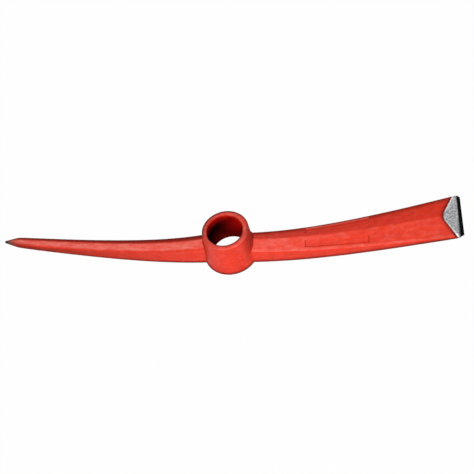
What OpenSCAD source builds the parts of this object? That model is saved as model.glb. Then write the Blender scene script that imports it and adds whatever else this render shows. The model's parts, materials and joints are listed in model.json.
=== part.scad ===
// Pick axe head without its handle, in millimetres.
// A conical eye collar carries a point arm and a chisel arm, each with a hardened steel end.
// Z is the axis of the eye, and the handle hangs from the narrow rim, on the +Z side.
// X runs from the point to the chisel, and the wide rim of the collar stands on Z = 0.

/* [Eye collar] */
// Diameter of the straight land of the eye, at the narrow rim
eye_d = 40; // [34:0.5:46]
// Length of that land
eye_land = 14; // [8:0.5:24]
// How much wider the eye is at the wide rim
eye_taper = 2.8; // [0:0.2:6]
// Wall of the collar at the narrow rim
collar_wall = 5.9; // [4:0.1:9]
// Wall of the collar at the wide rim
collar_foot_wall = 9; // [6:0.2:12]
// Height of the collar
collar_h = 44; // [36:1:60]
// How far the flank of the collar is drawn in at half height
collar_waist = 1; // [0:0.1:2]
// Rounding of the edges of both rims
rim_round = 1.2; // [0.4:0.1:1.8]
// Rounding of the mouth of the eye at the narrow rim
mouth_round = 2; // [0.4:0.1:2.1]

/* [Both arms] */
// Height of the ends of the arms above the wide rim, on their underside
arm_rise = 44; // [20:1:70]
// Spread of the bend: a larger value bends the arms over more of their length
arm_bend = 45; // [15:1:90]
// Rounding of the long edges
edge_round = 1.4; // [0.4:0.1:2]

/* [Point arm] */
// Distance of the tip from the axis of the eye
point_reach = 252; // [180:1:330]
// Width over the shoulders at the collar
point_root_w = 18.9; // [14:0.1:28]
// Width over the shoulders at the end, before the tip is pointed
point_end_w = 9.4; // [6:0.1:14]
// Height of the sides at the collar
point_root_side = 22.2; // [14:0.1:26]
// Height of the sides at the end
point_end_side = 5.2; // [2:0.1:8]
// How far the underside stands out past each shoulder at the collar
point_root_spread = 3.2; // [0:0.1:5]
// How far the underside stands out past each shoulder at the end
point_end_spread = 1.1; // [0:0.1:2]
// Height of the ridge over the shoulders at the collar
point_root_ridge = 4.3; // [2:0.1:7]
// Height of the ridge over the shoulders at the end
point_end_ridge = 2.2; // [1:0.1:4]
// Swelling of the sides where the arm runs into the collar
point_swell = 3; // [0:0.5:5]
// Length over which the swelling fades
point_swell_len = 30; // [10:1:60]

/* [Chisel arm] */
// Distance of the cutting edge from the axis of the eye
chisel_reach = 252.5; // [180:0.5:330]
// Width over the shoulders at the collar
chisel_root_w = 26.4; // [18:0.1:32]
// Width over the shoulders at the end
chisel_end_w = 53.4; // [40:0.1:75]
// Lateness of the widening: 1 is a straight taper
chisel_flare = 1.2; // [1:0.05:2]
// Height of the sides at the collar
chisel_root_side = 18.2; // [12:0.1:26]
// Height of the sides at the end
chisel_end_side = 3.1; // [1:0.1:5]
// How far the underside stands out past each shoulder at the collar
chisel_root_spread = 2.1; // [0:0.1:4]
// How far the underside stands out past each shoulder at the end
chisel_end_spread = 1.2; // [0:0.1:3]
// Height of the ridge over the shoulders at the collar
chisel_root_ridge = 5.8; // [3:0.1:9]
// Height of the ridge over the shoulders at the end
chisel_end_ridge = 3.8; // [2:0.1:8]

/* [Sunk panels] */
// Distance of the panels from the axis of the eye
panel_start = 85; // [50:1:120]
// Length of a panel along the arm
panel_len = 70; // [30:1:90]
// Width of a panel up the slope
panel_w = 8; // [4:0.5:10]
// Slope left between the shoulder and a panel
panel_gap = 4.3; // [2:0.1:6]
// Depth of a panel
panel_depth = 0.7; // [0.3:0.1:1.2]

/* [Hardened ends] */
// Length of the steel tip
tip_len = 14; // [8:0.5:30]
// Width of the blunted end of the tip
tip_end_w = 2.2; // [0.8:0.1:3]
// How softly the taper of the tip starts, as a share of the length of the tip
tip_soft = 0.28; // [0.05:0.01:0.6]
// Length of the steel bit on the ridge, from its nose to the cutting edge
bit_len = 19; // [14:0.5:30]
// Length of the steel bit along the sides
bit_side_len = 6; // [4:0.5:10]
// Radius of the nose of the bit
bit_nose_r = 15; // [4:0.5:20]
// Length of the steep land behind the cutting edge
land_len = 2.6; // [1:0.1:5]
// Height of that land
land_h = 1; // [0.4:0.1:2]
// Thickness left at the cutting edge
edge_t = 0.3; // [0.2:0.1:1]
// Length of the cutting edge, between its clipped corners
edge_w = 49.3; // [34:0.1:70]

/* [Welds] */
// Leg of the fillet welds between the arms and the collar
weld_leg = 3; // [1.5:0.1:5]
// Depth of the throat of the welds, as a share of the leg
weld_throat = 0.4; // [0.3:0.05:0.6]

/* [Hidden] */
$fn = 96;

PAINT = "orangered";
STEEL = "silver";
DARK_STEEL = "dimgray";

// Steps of the collar's flank
FLANK_STEPS = 8;
// Steps of the lofts along an arm, along a panel and along the tip
ARM_STEPS = 26;
PANEL_STEPS = 8;
TIP_STEPS = 5;
// Points between two corners of a weld's path
WELD_STEPS = 3;
// Points of the bit's rounded nose
NOSE_STEPS = 12;
// Overshoot of the cutters past the faces that they cut
past = 2;

// Height where the welds stop, above the rounds of the wide rim and of the arms' lower edges
weld_stop = rim_round + edge_round;

eye_r = eye_d / 2;
eye_foot_r = eye_r + eye_taper / 2;
collar_r = eye_r + collar_wall;
collar_foot_r = eye_foot_r + collar_foot_wall;

// Outside radius of the collar at a height
function collar_r_at(z) =
    let(up = z / collar_h)
    collar_foot_r + (collar_r - collar_foot_r) * up - 4 * collar_waist * up * (1 - up);

// Distance along an arm from the collar, as a share of the free length of the arm
function share(x, reach) = max(0, x - collar_r) / (reach - collar_r);

// Height of the underside, level at the collar and bending up to a straight rise
function underside(t) = sqrt(arm_bend ^ 2 + (arm_rise ^ 2 + 2 * arm_rise * arm_bend) * t ^ 2) - arm_bend;

function blend(root, end, t) = root + (end - root) * t;

// An arm's sizes at a distance from the axis:
// [half width over the shoulders, half width of the underside, side, ridge, underside height]
function point_size(x) =
    let(t = share(x, point_reach))
    let(swell = point_swell * exp(-max(0, x - collar_r) / point_swell_len))
    let(run = (x - point_reach + tip_len) / tip_len)
    let(nose = (run + sqrt(run ^ 2 + tip_soft ^ 2)) / (1 + sqrt(1 + tip_soft ^ 2)))
    let(sharp = blend(1, tip_end_w / point_end_w, nose))
    let(half = sharp * blend(point_root_w, point_end_w, t) / 2)
    [
        half,
        half + sharp * blend(point_root_spread, point_end_spread, t),
        sharp * (blend(point_root_side, point_end_side, t) + swell),
        sharp * blend(point_root_ridge, point_end_ridge, t),
        underside(t)
    ];

function chisel_size(x) =
    let(t = share(x, chisel_reach))
    let(half = blend(chisel_root_w, chisel_end_w, t ^ chisel_flare) / 2)
    [
        half,
        half + blend(chisel_root_spread, chisel_end_spread, t),
        blend(chisel_root_side, chisel_end_side, t),
        blend(chisel_root_ridge, chisel_end_ridge, t),
        underside(t)
    ];

// Parts of a size list
function half_w(size) = size[0];
function foot_half_w(size) = size[1];
function side_h(size) = size[2];
function ridge_h(size) = size[3];
function low_z(size) = size[4];
function shoulder_z(size) = low_z(size) + side_h(size);
function ridge_z(size) = shoulder_z(size) + ridge_h(size);

// A point moved from p towards q, by at most a third of the way
function toward(p, q, d) = p + (q - p) * min(d / norm(q - p), 1 / 3);

// A corner at p between its neighbours a and b, as the three points of a round
function round_corner(a, p, b, d) =
    let(from = toward(p, a, d))
    let(to = toward(p, b, d))
    [from, (from + 2 * p + to) / 4, to];

function round_ring(ring, d) =
    let(n = len(ring))
    [for (i = [0:n - 1]) each round_corner(ring[(i + n - 1) % n], ring[i], ring[(i + 1) % n], d)];

// Cross-section of an arm: a flat underside, drafted sides and a ridged roof
function arm_section(size) = round_ring([
    [foot_half_w(size), low_z(size)],
    [half_w(size), shoulder_z(size)],
    [0, ridge_z(size)],
    [-half_w(size), shoulder_z(size)],
    [-foot_half_w(size), low_z(size)]
], edge_round);

// A cross-section set up at a distance from the axis
function at_x(x, ring) = [for (p = ring) [x, p[0], p[1]]];

function steps(from, to, count) = [for (i = [0:count]) blend(from, to, i / count)];

// Faces of a loft over rings of n points, closed at both ends
function loft_faces(rings, n) = concat(
    [[for (j = [0:n - 1]) j]],
    [for (i = [0:rings - 2]) for (j = [0:n - 1])
        each let(a = i * n + j, b = i * n + (j + 1) % n) [[a, a + n, b + n], [a, b + n, b]]],
    [[for (j = [n - 1:-1:0]) (rings - 1) * n + j]]
);

module loft(rings) {
    polyhedron([for (ring = rings) each ring], loft_faces(len(rings), len(rings[0])), convexity = 6);
}

// Quarter round of a rim, from one angle, about the corner's centre
function quarter(centre, from, r) = [for (a = [0:22.5:90]) centre + r * [cos(from + a), sin(from + a)]];

// Outline of the collar's outside, from the wide rim to the narrow rim
function collar_outside() = concat(
    quarter([collar_foot_r - rim_round, rim_round], -90, rim_round),
    [for (i = [1:FLANK_STEPS - 1]) let(z = collar_h * i / FLANK_STEPS) [collar_r_at(z), z]],
    quarter([collar_r - rim_round, collar_h - rim_round], 0, rim_round)
);

// The collar with no eye, which the arms are cut to fit
module collar_blank() {
    rotate_extrude() polygon(concat([[0, 0]], collar_outside(), [[0, collar_h]]));
}

module eye_collar() {
    color(PAINT) rotate_extrude() polygon(concat(
        [[eye_foot_r + rim_round, 0]],
        collar_outside(),
        quarter([eye_r + mouth_round, collar_h - mouth_round], 90, mouth_round),
        [[eye_r, collar_h - eye_land], [eye_foot_r, rim_round]]
    ));
}

// Distances of an arm's cross-sections, from the axis of the eye to the arm's end
function bar_steps(end) = concat([0], steps(collar_r, end, ARM_STEPS));

// The arms before they are cut to the collar, both along +X
module point_loft(distances) {
    loft([for (x = distances) at_x(x, arm_section(point_size(x)))]);
}

module point_bar() {
    point_loft(bar_steps(point_reach - tip_len));
}

module chisel_bar() {
    loft([for (x = bar_steps(chisel_reach)) at_x(x, arm_section(chisel_size(x)))]);
}

module point_arm() {
    color(PAINT) mirror([1, 0, 0]) difference() {
        point_bar();
        collar_blank();
    }
}

module point_tip() {
    color(DARK_STEEL) mirror([1, 0, 0]) point_loft(steps(point_reach - tip_len, point_reach, TIP_STEPS));
}

// Point of a sunk panel: up is measured from the shoulder along the slope, out is square to the slope
function slope_point(size, up, out) =
    let(along = [-half_w(size), ridge_h(size)] / norm([half_w(size), ridge_h(size)]))
    [half_w(size), shoulder_z(size)] + up * along + out * [along[1], -along[0]];

module panel_cut() {
    loft([for (x = steps(panel_start, panel_start + panel_len, PANEL_STEPS))
        let(size = chisel_size(x), top = panel_gap + panel_w)
        at_x(x, [
            slope_point(size, panel_gap, -panel_depth),
            slope_point(size, panel_gap, past),
            slope_point(size, top, past),
            slope_point(size, top, -panel_depth)
        ])]);
}

// Where the bevel leaves the ridge, where it meets the land, and the cutting edge, each as [X, Z]
bevel_start = [chisel_reach - bit_len, ridge_z(chisel_size(chisel_reach - bit_len))];
cut_edge = [chisel_reach, underside(1) + edge_t];
land_start = cut_edge + [-land_len, land_h];
blade_half_w = foot_half_w(chisel_size(chisel_reach)) + past;

// Everything above the bevel and the land, seen from the side
module bevel_cut() {
    top = bevel_start[1] + chisel_end_ridge + past;
    land_run = cut_edge - land_start;
    rotate([90, 0, 0]) linear_extrude(2 * blade_half_w, center = true) polygon([
        bevel_start,
        land_start,
        cut_edge,
        cut_edge + land_run,
        [chisel_reach + land_len, top],
        [bevel_start[0], top]
    ]);
}

// Where the bit and the clipped corners start on the sides, and the ends of the cutting edge
side_start = [chisel_reach - bit_side_len, foot_half_w(chisel_size(chisel_reach - bit_side_len))];
edge_end = [chisel_reach, edge_w / 2];

module corner_cut() {
    clip_run = edge_end - side_start;
    linear_extrude(3 * (arm_rise + collar_h), center = true) polygon([
        side_start,
        edge_end,
        edge_end + clip_run,
        [chisel_reach + bit_side_len, blade_half_w + bit_side_len],
        [side_start[0], blade_half_w + bit_side_len]
    ]);
}

// Chisel arm and bit in one, ground to its edge
module chisel_blade() {
    difference() {
        chisel_bar();
        collar_blank();
        bevel_cut();
        for (side = [0, 1]) mirror([0, side, 0]) {
            corner_cut();
            panel_cut();
        }
    }
}

// Plan of the bit: a rounded nose with straight flanks that meet the sides where the bit starts there
module bit_plan() {
    centre = [chisel_reach - bit_len + bit_nose_r, 0];
    reach = side_start - centre;
    touch = atan2(reach[1], reach[0]) + acos(bit_nose_r / norm(reach));
    flank = side_start - centre - bit_nose_r * [cos(touch), sin(touch)];
    outer = side_start + flank;
    end_x = max(outer[0], chisel_reach) + past;
    polygon(concat(
        [for (a = steps(touch, 360 - touch, NOSE_STEPS)) centre + bit_nose_r * [cos(a), sin(a)]],
        [[outer[0], -outer[1]], [end_x, -outer[1]], [end_x, outer[1]], outer]
    ));
}

module bit_seat() {
    linear_extrude(3 * (arm_rise + collar_h), center = true) bit_plan();
}

module chisel_arm() {
    color(PAINT) difference() {
        chisel_blade();
        bit_seat();
    }
}

module chisel_bit() {
    color(STEEL) intersection() {
        chisel_blade();
        bit_seat();
    }
}

// Path of a weld round the root of an arm, up one side, over the roof and down the other side
function weld_path(size) =
    let(start = [foot_half_w(size), low_z(size)])
    let(shoulder = [half_w(size), shoulder_z(size)])
    let(ridge = [0, ridge_z(size)])
    let(flip = [[-1, 0], [0, 1]])
    concat(
        [start],
        round_corner(start, shoulder, ridge, edge_round),
        round_corner(shoulder, ridge, flip * shoulder, edge_round),
        round_corner(ridge, flip * shoulder, flip * start, edge_round),
        [flip * start]
    );

function refine(path, count) = concat(
    [for (i = [0:len(path) - 2]) for (k = [0:count - 1]) blend(path[i], path[i + 1], k / count)],
    [path[len(path) - 1]]
);

// Outward direction of a path at a point, square to the line through its neighbours
function outward(path, i) =
    let(run = path[min(i + 1, len(path) - 1)] - path[max(i - 1, 0)])
    [run[1], -run[0]] / norm(run);

// Point of a weld: out from the arm's skin, or in towards its core, and away from the collar's skin
function weld_point(p, normal, core, away, out) =
    let(q = out < 0 ? toward(p, core, -out) : p + out * normal)
    [sqrt(max(0, collar_r_at(q[1]) ^ 2 - q[0] ^ 2)) + away, q[0], q[1]];

// A weld lies along +X while it is made, and reaches into the arm and the collar before they are cut out
module weld_bead(size) {
    path = refine(weld_path(size), WELD_STEPS);
    core = [0, ridge_z(size) / 2];
    root = -weld_leg / 2;
    throat = weld_throat * weld_leg;
    profile = [[root, root], [weld_leg, root], [weld_leg, 0], [throat, throat], [0, weld_leg], [root, weld_leg]];
    intersection() {
        loft([for (i = [0:len(path) - 1])
            [for (q = profile) weld_point(path[i], outward(path, i), core, q[0], q[1])]]);
        translate([0, -collar_foot_r, weld_stop]) cube([2 * collar_foot_r, 2 * collar_foot_r, collar_h]);
    }
}

module point_arm_weld() {
    color(PAINT) mirror([1, 0, 0]) difference() {
        weld_bead(point_size(collar_r));
        point_bar();
        collar_blank();
    }
}

module chisel_arm_weld() {
    color(PAINT) difference() {
        weld_bead(chisel_size(collar_r));
        chisel_bar();
        collar_blank();
    }
}

eye_collar();
point_arm();
chisel_arm();
point_tip();
chisel_bit();
point_arm_weld();
chisel_arm_weld();
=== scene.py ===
"""Looks of a painted pick axe head: collar, arms, welds, steel tip and steel bit, with its studio."""

import json
import math

import bmesh
import bpy
import numpy as np
from mathutils import Matrix, Vector


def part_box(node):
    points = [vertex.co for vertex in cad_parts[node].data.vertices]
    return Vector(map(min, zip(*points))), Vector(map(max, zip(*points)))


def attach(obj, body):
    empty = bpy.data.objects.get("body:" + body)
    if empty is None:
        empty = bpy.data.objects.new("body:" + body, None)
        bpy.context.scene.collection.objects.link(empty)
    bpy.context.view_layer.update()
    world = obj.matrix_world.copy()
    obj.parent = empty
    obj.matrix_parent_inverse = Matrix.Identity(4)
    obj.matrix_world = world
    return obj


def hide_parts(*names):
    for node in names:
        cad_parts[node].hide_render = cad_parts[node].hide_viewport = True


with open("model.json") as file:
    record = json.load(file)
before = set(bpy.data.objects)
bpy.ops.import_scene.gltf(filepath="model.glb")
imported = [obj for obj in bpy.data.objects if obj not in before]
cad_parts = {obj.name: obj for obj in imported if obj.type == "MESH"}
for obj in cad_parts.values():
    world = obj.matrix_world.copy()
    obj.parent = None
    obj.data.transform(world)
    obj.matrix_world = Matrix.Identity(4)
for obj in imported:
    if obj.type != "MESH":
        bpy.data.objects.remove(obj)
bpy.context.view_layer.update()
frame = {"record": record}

bl_info = {
    "name": "Pick Axe Head",
    "version": (1, 0, 0),
    "blender": (4, 5, 0),
    "location": "View3D > Sidebar > Pick Head",
    "description": "Builds the finished pieces of a painted pick axe head around its CAD frame",
    "category": "Object",
}

BODY = "root"
MM = 0.001

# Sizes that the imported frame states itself
EYE_RADIUS = frame["record"]["mounts"][0]["dims"]["r_mm"] * MM
COLLAR_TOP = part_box("eye_collar")[1]
POINT_REACH = -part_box("point_tip")[0].x
POINT_JOINT = -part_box("point_tip")[1].x
CHISEL_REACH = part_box("chisel_bit")[1].x
BIT_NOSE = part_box("chisel_bit")[0].x


def length(name, description, default):
    """A length property, in metres."""
    return bpy.props.FloatProperty(
        name=name, description=description, default=default, precision=4, subtype="DISTANCE", unit="LENGTH")


def angle(name, description, degrees):
    """An angle property, given in degrees and kept in radians."""
    return bpy.props.FloatProperty(
        name=name, description=description, default=math.radians(degrees), subtype="ANGLE", unit="ROTATION")


def number(name, description, default):
    """A plain number."""
    return bpy.props.FloatProperty(name=name, description=description, default=default, precision=3)


def colour(name, description, default):
    """A colour property, in linear light."""
    return bpy.props.FloatVectorProperty(
        name=name, description=description, default=default, size=3, min=0.0, max=1.0, subtype="COLOR")


class CollarSizes(bpy.types.PropertyGroup):
    """Sizes of the eye collar."""

    eye_radius: length("Eye radius", "Radius of the straight land of the eye", EYE_RADIUS)
    eye_land: length("Eye land", "Length of the straight land below the narrow rim", 14 * MM)
    eye_taper: length("Eye taper", "Growth of the eye's radius towards the wide rim", 1.4 * MM)
    radius: length("Narrow radius", "Outside radius at the narrow rim", 25.9 * MM)
    foot_radius: length("Wide radius", "Outside radius at the wide rim", COLLAR_TOP.y)
    height: length("Height", "Height of the collar", COLLAR_TOP.z)
    waist: length("Waist", "How far the flank is drawn in at half height", 1.0 * MM)
    rim_shift: length("Rim shift", "How far the narrow rim's outer edge stands towards the chisel", 0.2 * MM)
    mouth_shift: length("Mouth shift", "How far the eye's mouth stands towards the point", 0.6 * MM)
    rim_round: length("Rim round", "Rounding of the edges of both rims", 1.2 * MM)
    mouth_round: length("Mouth round", "Rounding of the eye's mouth at the narrow rim", 2 * MM)
    segments: bpy.props.IntProperty(name="Segments", description="Steps round the collar", default=192)


class ArmSizes(bpy.types.PropertyGroup):
    """Sizes that both arms share."""

    rise: length("Rise", "Height of the ends of the arms above the wide rim", 44 * MM)
    bend: length("Bend", "Spread of the bend along the arms", 45 * MM)
    edge_round: length("Edge round", "Rounding of the long edges", 1.4 * MM)
    sink: length("Sink", "How far the arms reach into the collar's wall", 0.6 * MM)
    wave: length("Forging wave", "Height of the slow waves of the forged skin", 0.16 * MM)
    wave_scale: number("Wave scale", "Waves of the forged skin in a metre", 38)
    wave_seed: bpy.props.IntProperty(name="Wave seed", description="Seed of the forged skin", default=7)


class PointSizes(bpy.types.PropertyGroup):
    """Sizes of the point arm and its tip."""

    reach: length("Reach", "Distance of the tip from the axis of the eye", POINT_REACH)
    joint: length("Tip joint", "Distance of the steel tip's joint from the axis", POINT_JOINT)
    root_w: length("Root width", "Width over the shoulders at the collar", 18.9 * MM)
    end_w: length("End width", "Width over the shoulders at the end", 9.4 * MM)
    root_side: length("Root side", "Height of the sides at the collar", 22.2 * MM)
    end_side: length("End side", "Height of the sides at the end", 5.2 * MM)
    root_spread: length("Root spread", "Underside past a shoulder, at the collar", 3.2 * MM)
    end_spread: length("End spread", "Underside past a shoulder, at the end", 1.1 * MM)
    root_ridge: length("Root ridge", "Height of the ridge over the shoulders at the collar", 4.3 * MM)
    end_ridge: length("End ridge", "Height of the ridge over the shoulders at the end", 2.2 * MM)
    swell: length("Swell", "Swelling of the sides at the collar", 3 * MM)
    swell_len: length("Swell length", "Length over which the swelling fades", 30 * MM)
    tip_end_w: length("Tip end", "Width of the blunted end of the tip", 2.2 * MM)
    tip_soft: number("Tip softness", "Softness of the taper's start, as a share of the tip", 0.28)


class ChiselSizes(bpy.types.PropertyGroup):
    """Sizes of the chisel arm, its sunk panels and its bit."""

    reach: length("Reach", "Distance of the cutting edge from the axis of the eye", CHISEL_REACH)
    root_w: length("Root width", "Width over the shoulders at the collar", 26.4 * MM)
    end_w: length("End width", "Width over the shoulders at the end", 53.4 * MM)
    flare: number("Flare", "Lateness of the widening, where 1 is a straight taper", 1.2)
    root_side: length("Root side", "Height of the sides at the collar", 18.2 * MM)
    end_side: length("End side", "Height of the sides at the end", 3.1 * MM)
    root_spread: length("Root spread", "Underside past a shoulder, at the collar", 2.1 * MM)
    end_spread: length("End spread", "Underside past a shoulder, at the end", 1.2 * MM)
    root_ridge: length("Root ridge", "Height of the ridge over the shoulders at the collar", 5.8 * MM)
    end_ridge: length("End ridge", "Height of the ridge over the shoulders at the end", 3.8 * MM)
    panel_start: length("Panel start", "Distance of the sunk panels from the axis", 85 * MM)
    panel_len: length("Panel length", "Length of a panel along the arm", 70 * MM)
    panel_w: length("Panel width", "Width of a panel up the slope", 8 * MM)
    panel_gap: length("Panel gap", "Slope left between the shoulder and a panel", 4.3 * MM)
    panel_depth: length("Panel depth", "Depth of a panel", 0.7 * MM)
    panel_wall: length("Panel wall", "Run of the sloped walls of a panel", 0.6 * MM)
    bit_nose: length("Bit nose", "Distance of the bit's nose from the axis of the eye", BIT_NOSE)
    bit_nose_r: length("Nose radius", "Radius of the bit's nose", 15 * MM)
    bit_side_len: length("Bit side", "Length of the bit along the sides", 6 * MM)
    bit_rear_len: length("Bit rear side", "Length of the bit's grinding along the rear side", 7.6 * MM)
    land_len: length("Land length", "Length of the steep land behind the cutting edge", 2.6 * MM)
    land_h: length("Land height", "Height of that land", 1 * MM)
    edge_t: length("Edge thickness", "Thickness left at the cutting edge", 0.3 * MM)
    edge_w: length("Edge width", "Length of the cutting edge between its clipped corners", 49.3 * MM)
    edge_skew: length("Edge skew", "Reach of the edge's front corner past its rear one", 1 * MM)
    seam: length("Seam depth", "Depth of the groove where the paint ends at the bit", 0.42 * MM)
    seam_run: length("Seam run", "Run of each side of that groove", 0.9 * MM)


class BeadSizes(bpy.types.PropertyGroup):
    """Sizes of the fillet welds."""

    radius: length("Bead radius", "Radius of a weld bead", 2.0 * MM)
    sink: length("Bead sink", "How far the bead's middle lies inside the corner", 0.55 * MM)
    start: length("Bead start", "Height where the beads start", 2.6 * MM)
    ripple: number("Ripple", "Height of the weld's ripples, as a share of the radius", 0.07)
    pitch: length("Ripple pitch", "Distance from ripple to ripple", 1.7 * MM)


class PaintLook(bpy.types.PropertyGroup):
    """Colours of the red enamel."""

    red: colour("Red", "Main colour of the enamel", (0.90, 0.044, 0.016))
    deep_red: colour("Deep red", "Colour of the enamel where it lies thick", (0.66, 0.024, 0.008))
    # Pink of painted sheen and painted highlights, which the enamel is lightened to where light is painted on
    # it.
    sheen_pink: colour("Chalky", "Colour of scuffed and faded enamel", (0.88, 0.19, 0.148))
    # Maroon of painted shade: dark outlines, shaded flanks, the welds' roots and the panels' walls darken to
    # it, as do the paint's edge at the bit and the darker ends of the arms.
    shade_maroon: colour("Maroon", "Colour of creases and worn edges", (0.06, 0.008, 0.006))
    # Painted light inside the eye: the red of the lit parts of its wall.
    eye_lit_red: colour("Eye red", "Colour of the thin enamel inside the eye", (0.46, 0.004, 0.003))
    # Painted shade inside the eye: the near black of its shaded parts, which also stands for forging scale.
    scale: colour("Scale", "Colour of the forging scale inside the eye", (0.014, 0.001, 0.001))
    gloss: number("Specular", "Specular level of the enamel", 0.14)


class WearLook(bpy.types.PropertyGroup):
    """Painted shade, painted highlights and painted sheen of the enamel, and its darkening towards the ends
    of the arms.
    """

    # The darkened strip along the lower edges of the arms and round the collar's foot is painted shade.
    foot_w: length("Foot width", "Height of the dirty strip along the lower edges", 4.4 * MM)
    foot_dark: number("Foot darkness", "Darkness of that strip at the collar", 0.74)
    foot_end_dark: number("Foot end darkness", "Darkness of that strip at the ends of the arms", 0.86)
    chisel_side_dark: number("Chisel side darkness", "Darkness of the chisel arm's sides at its end", 0.15)
    point_side_dark: number("Point side darkness", "Darkness of the point arm's sides at its end", 0.72)
    point_slope_dark: number("Point slope darkness", "Darkness of the point arm's slopes at its end", 0.25)
    # The dark strip, its halo and the thin line along the rear edges are painted shade.
    edge_w: length("Edge width", "Width of the worn strip along the chisel arm's rear edge", 5 * MM)
    edge_dark: number("Edge darkness", "Darkness of that strip", 0.38)
    line_dark: number("Edge line darkness", "Darkness of the thin line along the rear edges", 0.74)
    # The point arm's darker rear slope is painted shade.
    point_edge_dark: number("Point edge darkness", "Darkness of the point arm's rear slope at its edge", 0.56)
    chisel_dust: number("Chisel dust", "Darkness of the chisel arm's front shoulder at its end", 0.15)
    point_dust: number("Point dust", "Darkness of the point arm's front shoulder at its end", 0.55)
    # The darkness of the welds is painted shade at the roots of the arms, strongest on their roofs.
    root_dark: number("Root darkness", "Darkness of the welds on the roofs of the arms", 0.56)
    point_bead_dark: number("Point weld darkness", "Darkness of the point arm's weld on its sides", 0.32)
    chisel_bead_dark: number("Chisel weld darkness", "Darkness of the chisel arm's weld on its sides", 0.12)
    # The darkness of the collar's flanks over the arms is painted shade.
    left_dark: number("Left flank darkness", "Darkness of the collar above the point arm", 0.31)
    right_dark: number("Right flank darkness", "Darkness of the collar above the chisel arm", 0.50)
    # The darkness at the foot of the panels' walls is painted shade in the sunk panels.
    panel_dark: number("Panel darkness", "Darkness of the foot of the panels' walls", 0.36)
    # The dark seam line is the paint's edge at the bit, darkened further as painted shade.
    seam_dark: number("Seam darkness", "Darkness of the paint's edge at the bit", 0.9)
    # Painted highlights and painted sheen: the shares of pink paint on the front shoulders, the rear strip,
    # the sides, the front slopes and the narrow rim.
    shoulder_highlight: number("Rubbed edges", "Share of chalky paint on the front shoulders", 0.4)
    rear_highlight: number("Rubbed rear strip", "Share of chalky paint between the rear edge and the panel", 0.62)
    side_sheen: number("Side fading", "Share of chalky paint on the sides of the arms", 0.10)
    point_sheen: number("Point fading", "Share of chalky paint on the point arm's front slope", 0.60)
    point_end_sheen: number("Point end fading", "The same share at the end of the point arm", 0.80)
    chisel_sheen: number("Chisel fading", "Share of chalky paint on the chisel arm's front slope", 0.36)
    end_sheen: number("End fading", "The same share past the panel", 0.14)
    rim_sheen: number("Rim fading", "Share of chalky paint on the narrow rim", 0.36)


class SteelLook(bpy.types.PropertyGroup):
    """Colours of the bare steel."""

    ground: colour("Ground steel", "Colour of the ground bevel", (0.54, 0.545, 0.555))
    # Painted highlight: the near white of the lip along the bit's seam.
    bright: colour("Bright steel", "Colour of the fresh lip of the bevel", (0.90, 0.88, 0.87))
    dull: colour("Dull steel", "Colour of the dull spots of the bevel", (0.22, 0.222, 0.23))
    # The land's black is partly hardened steel and partly a painted dark reflection; the point's black is
    # worn steel.
    black: colour("Black steel", "Colour of the hardened land and of the point", (0.004, 0.004, 0.004))
    brown: colour("Brown steel", "Colour of the worn steel behind the point", (0.31, 0.115, 0.085))


class StageSettings(bpy.types.PropertyGroup):
    """Camera, light and floor."""

    azimuth: angle("Azimuth", "Direction of the camera round the eye's axis", 16.2)
    elevation: angle("Elevation", "Height of the camera over the horizon", 53.29)
    roll: angle("Roll", "Turn of the camera about its own axis", -16.33)
    distance: length("Distance", "Distance of the camera from the origin", 1.110)
    aim_right: length("Aim right", "Shift of the camera to its right", 5.88 * MM)
    aim_up: length("Aim up", "Shift of the camera upwards", 17.36 * MM)
    lens: number("Lens", "Focal length in millimetres on a 36 mm sensor", 75.03)
    ambient: number("Ambient", "Strength of the even light from all round", 0.405)
    key: number("Key", "Power of the key light in watts", 25.0)
    key_azimuth: angle("Key azimuth", "Direction of the key light round the eye's axis", 10)
    key_elevation: angle("Key elevation", "Height of the key light over the horizon", 43)
    key_distance: length("Key distance", "Distance of the key light from the origin", 1.8)
    key_size: length("Key size", "Diameter of the key light", 0.9)
    floor: colour("Floor", "Colour of the floor", (0.62, 0.62, 0.62))
    floor_radius: length("Floor radius", "Radius of the round floor", 12.0)
    floor_glow: number("Floor glow", "Share of the floor that shows plain white", 0.98)


class PickHeadSettings(bpy.types.PropertyGroup):
    """All settings of the pick axe head."""

    collar: bpy.props.PointerProperty(type=CollarSizes)
    arms: bpy.props.PointerProperty(type=ArmSizes)
    point: bpy.props.PointerProperty(type=PointSizes)
    chisel: bpy.props.PointerProperty(type=ChiselSizes)
    beads: bpy.props.PointerProperty(type=BeadSizes)
    paint: bpy.props.PointerProperty(type=PaintLook)
    wear: bpy.props.PointerProperty(type=WearLook)
    steel: bpy.props.PointerProperty(type=SteelLook)
    stage: bpy.props.PointerProperty(type=StageSettings)


# Sizes of the arms at a distance from the axis of the eye

def blend(root, end, share):
    return root + (end - root) * share


def fade_in(distance, start, end):
    """0 before the start, 1 past the end, and a straight run between them."""
    return np.clip((distance - start) / (end - start), 0.0, 1.0)


def collar_radius_at(head, z):
    """Outside radius of the collar at a height, drawn in most at half height."""
    collar = head.collar
    up = z / collar.height
    return blend(collar.foot_radius, collar.radius, up) - 4 * collar.waist * up * (1 - up)


def free_share(head, x, reach):
    """Distance from the collar, as a share of an arm's free length."""
    root = head.collar.radius
    return np.maximum(0.0, x - root) / (reach - root)


def underside(head, share):
    """Height of an arm's underside, level at the collar and bending up to a straight rise."""
    rise, bend = head.arms.rise, head.arms.bend
    return np.sqrt(bend ** 2 + (rise ** 2 + 2 * rise * bend) * share ** 2) - bend


def bar_size(head, arm, share, widening):
    """Half width, foot half width, side height, ridge height and underside of a plain bar."""
    half_w = blend(arm.root_w, arm.end_w, widening) / 2
    foot_w = half_w + blend(arm.root_spread, arm.end_spread, share)
    side = blend(arm.root_side, arm.end_side, share)
    ridge = blend(arm.root_ridge, arm.end_ridge, share)
    return half_w, foot_w, side, ridge, underside(head, share)


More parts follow.
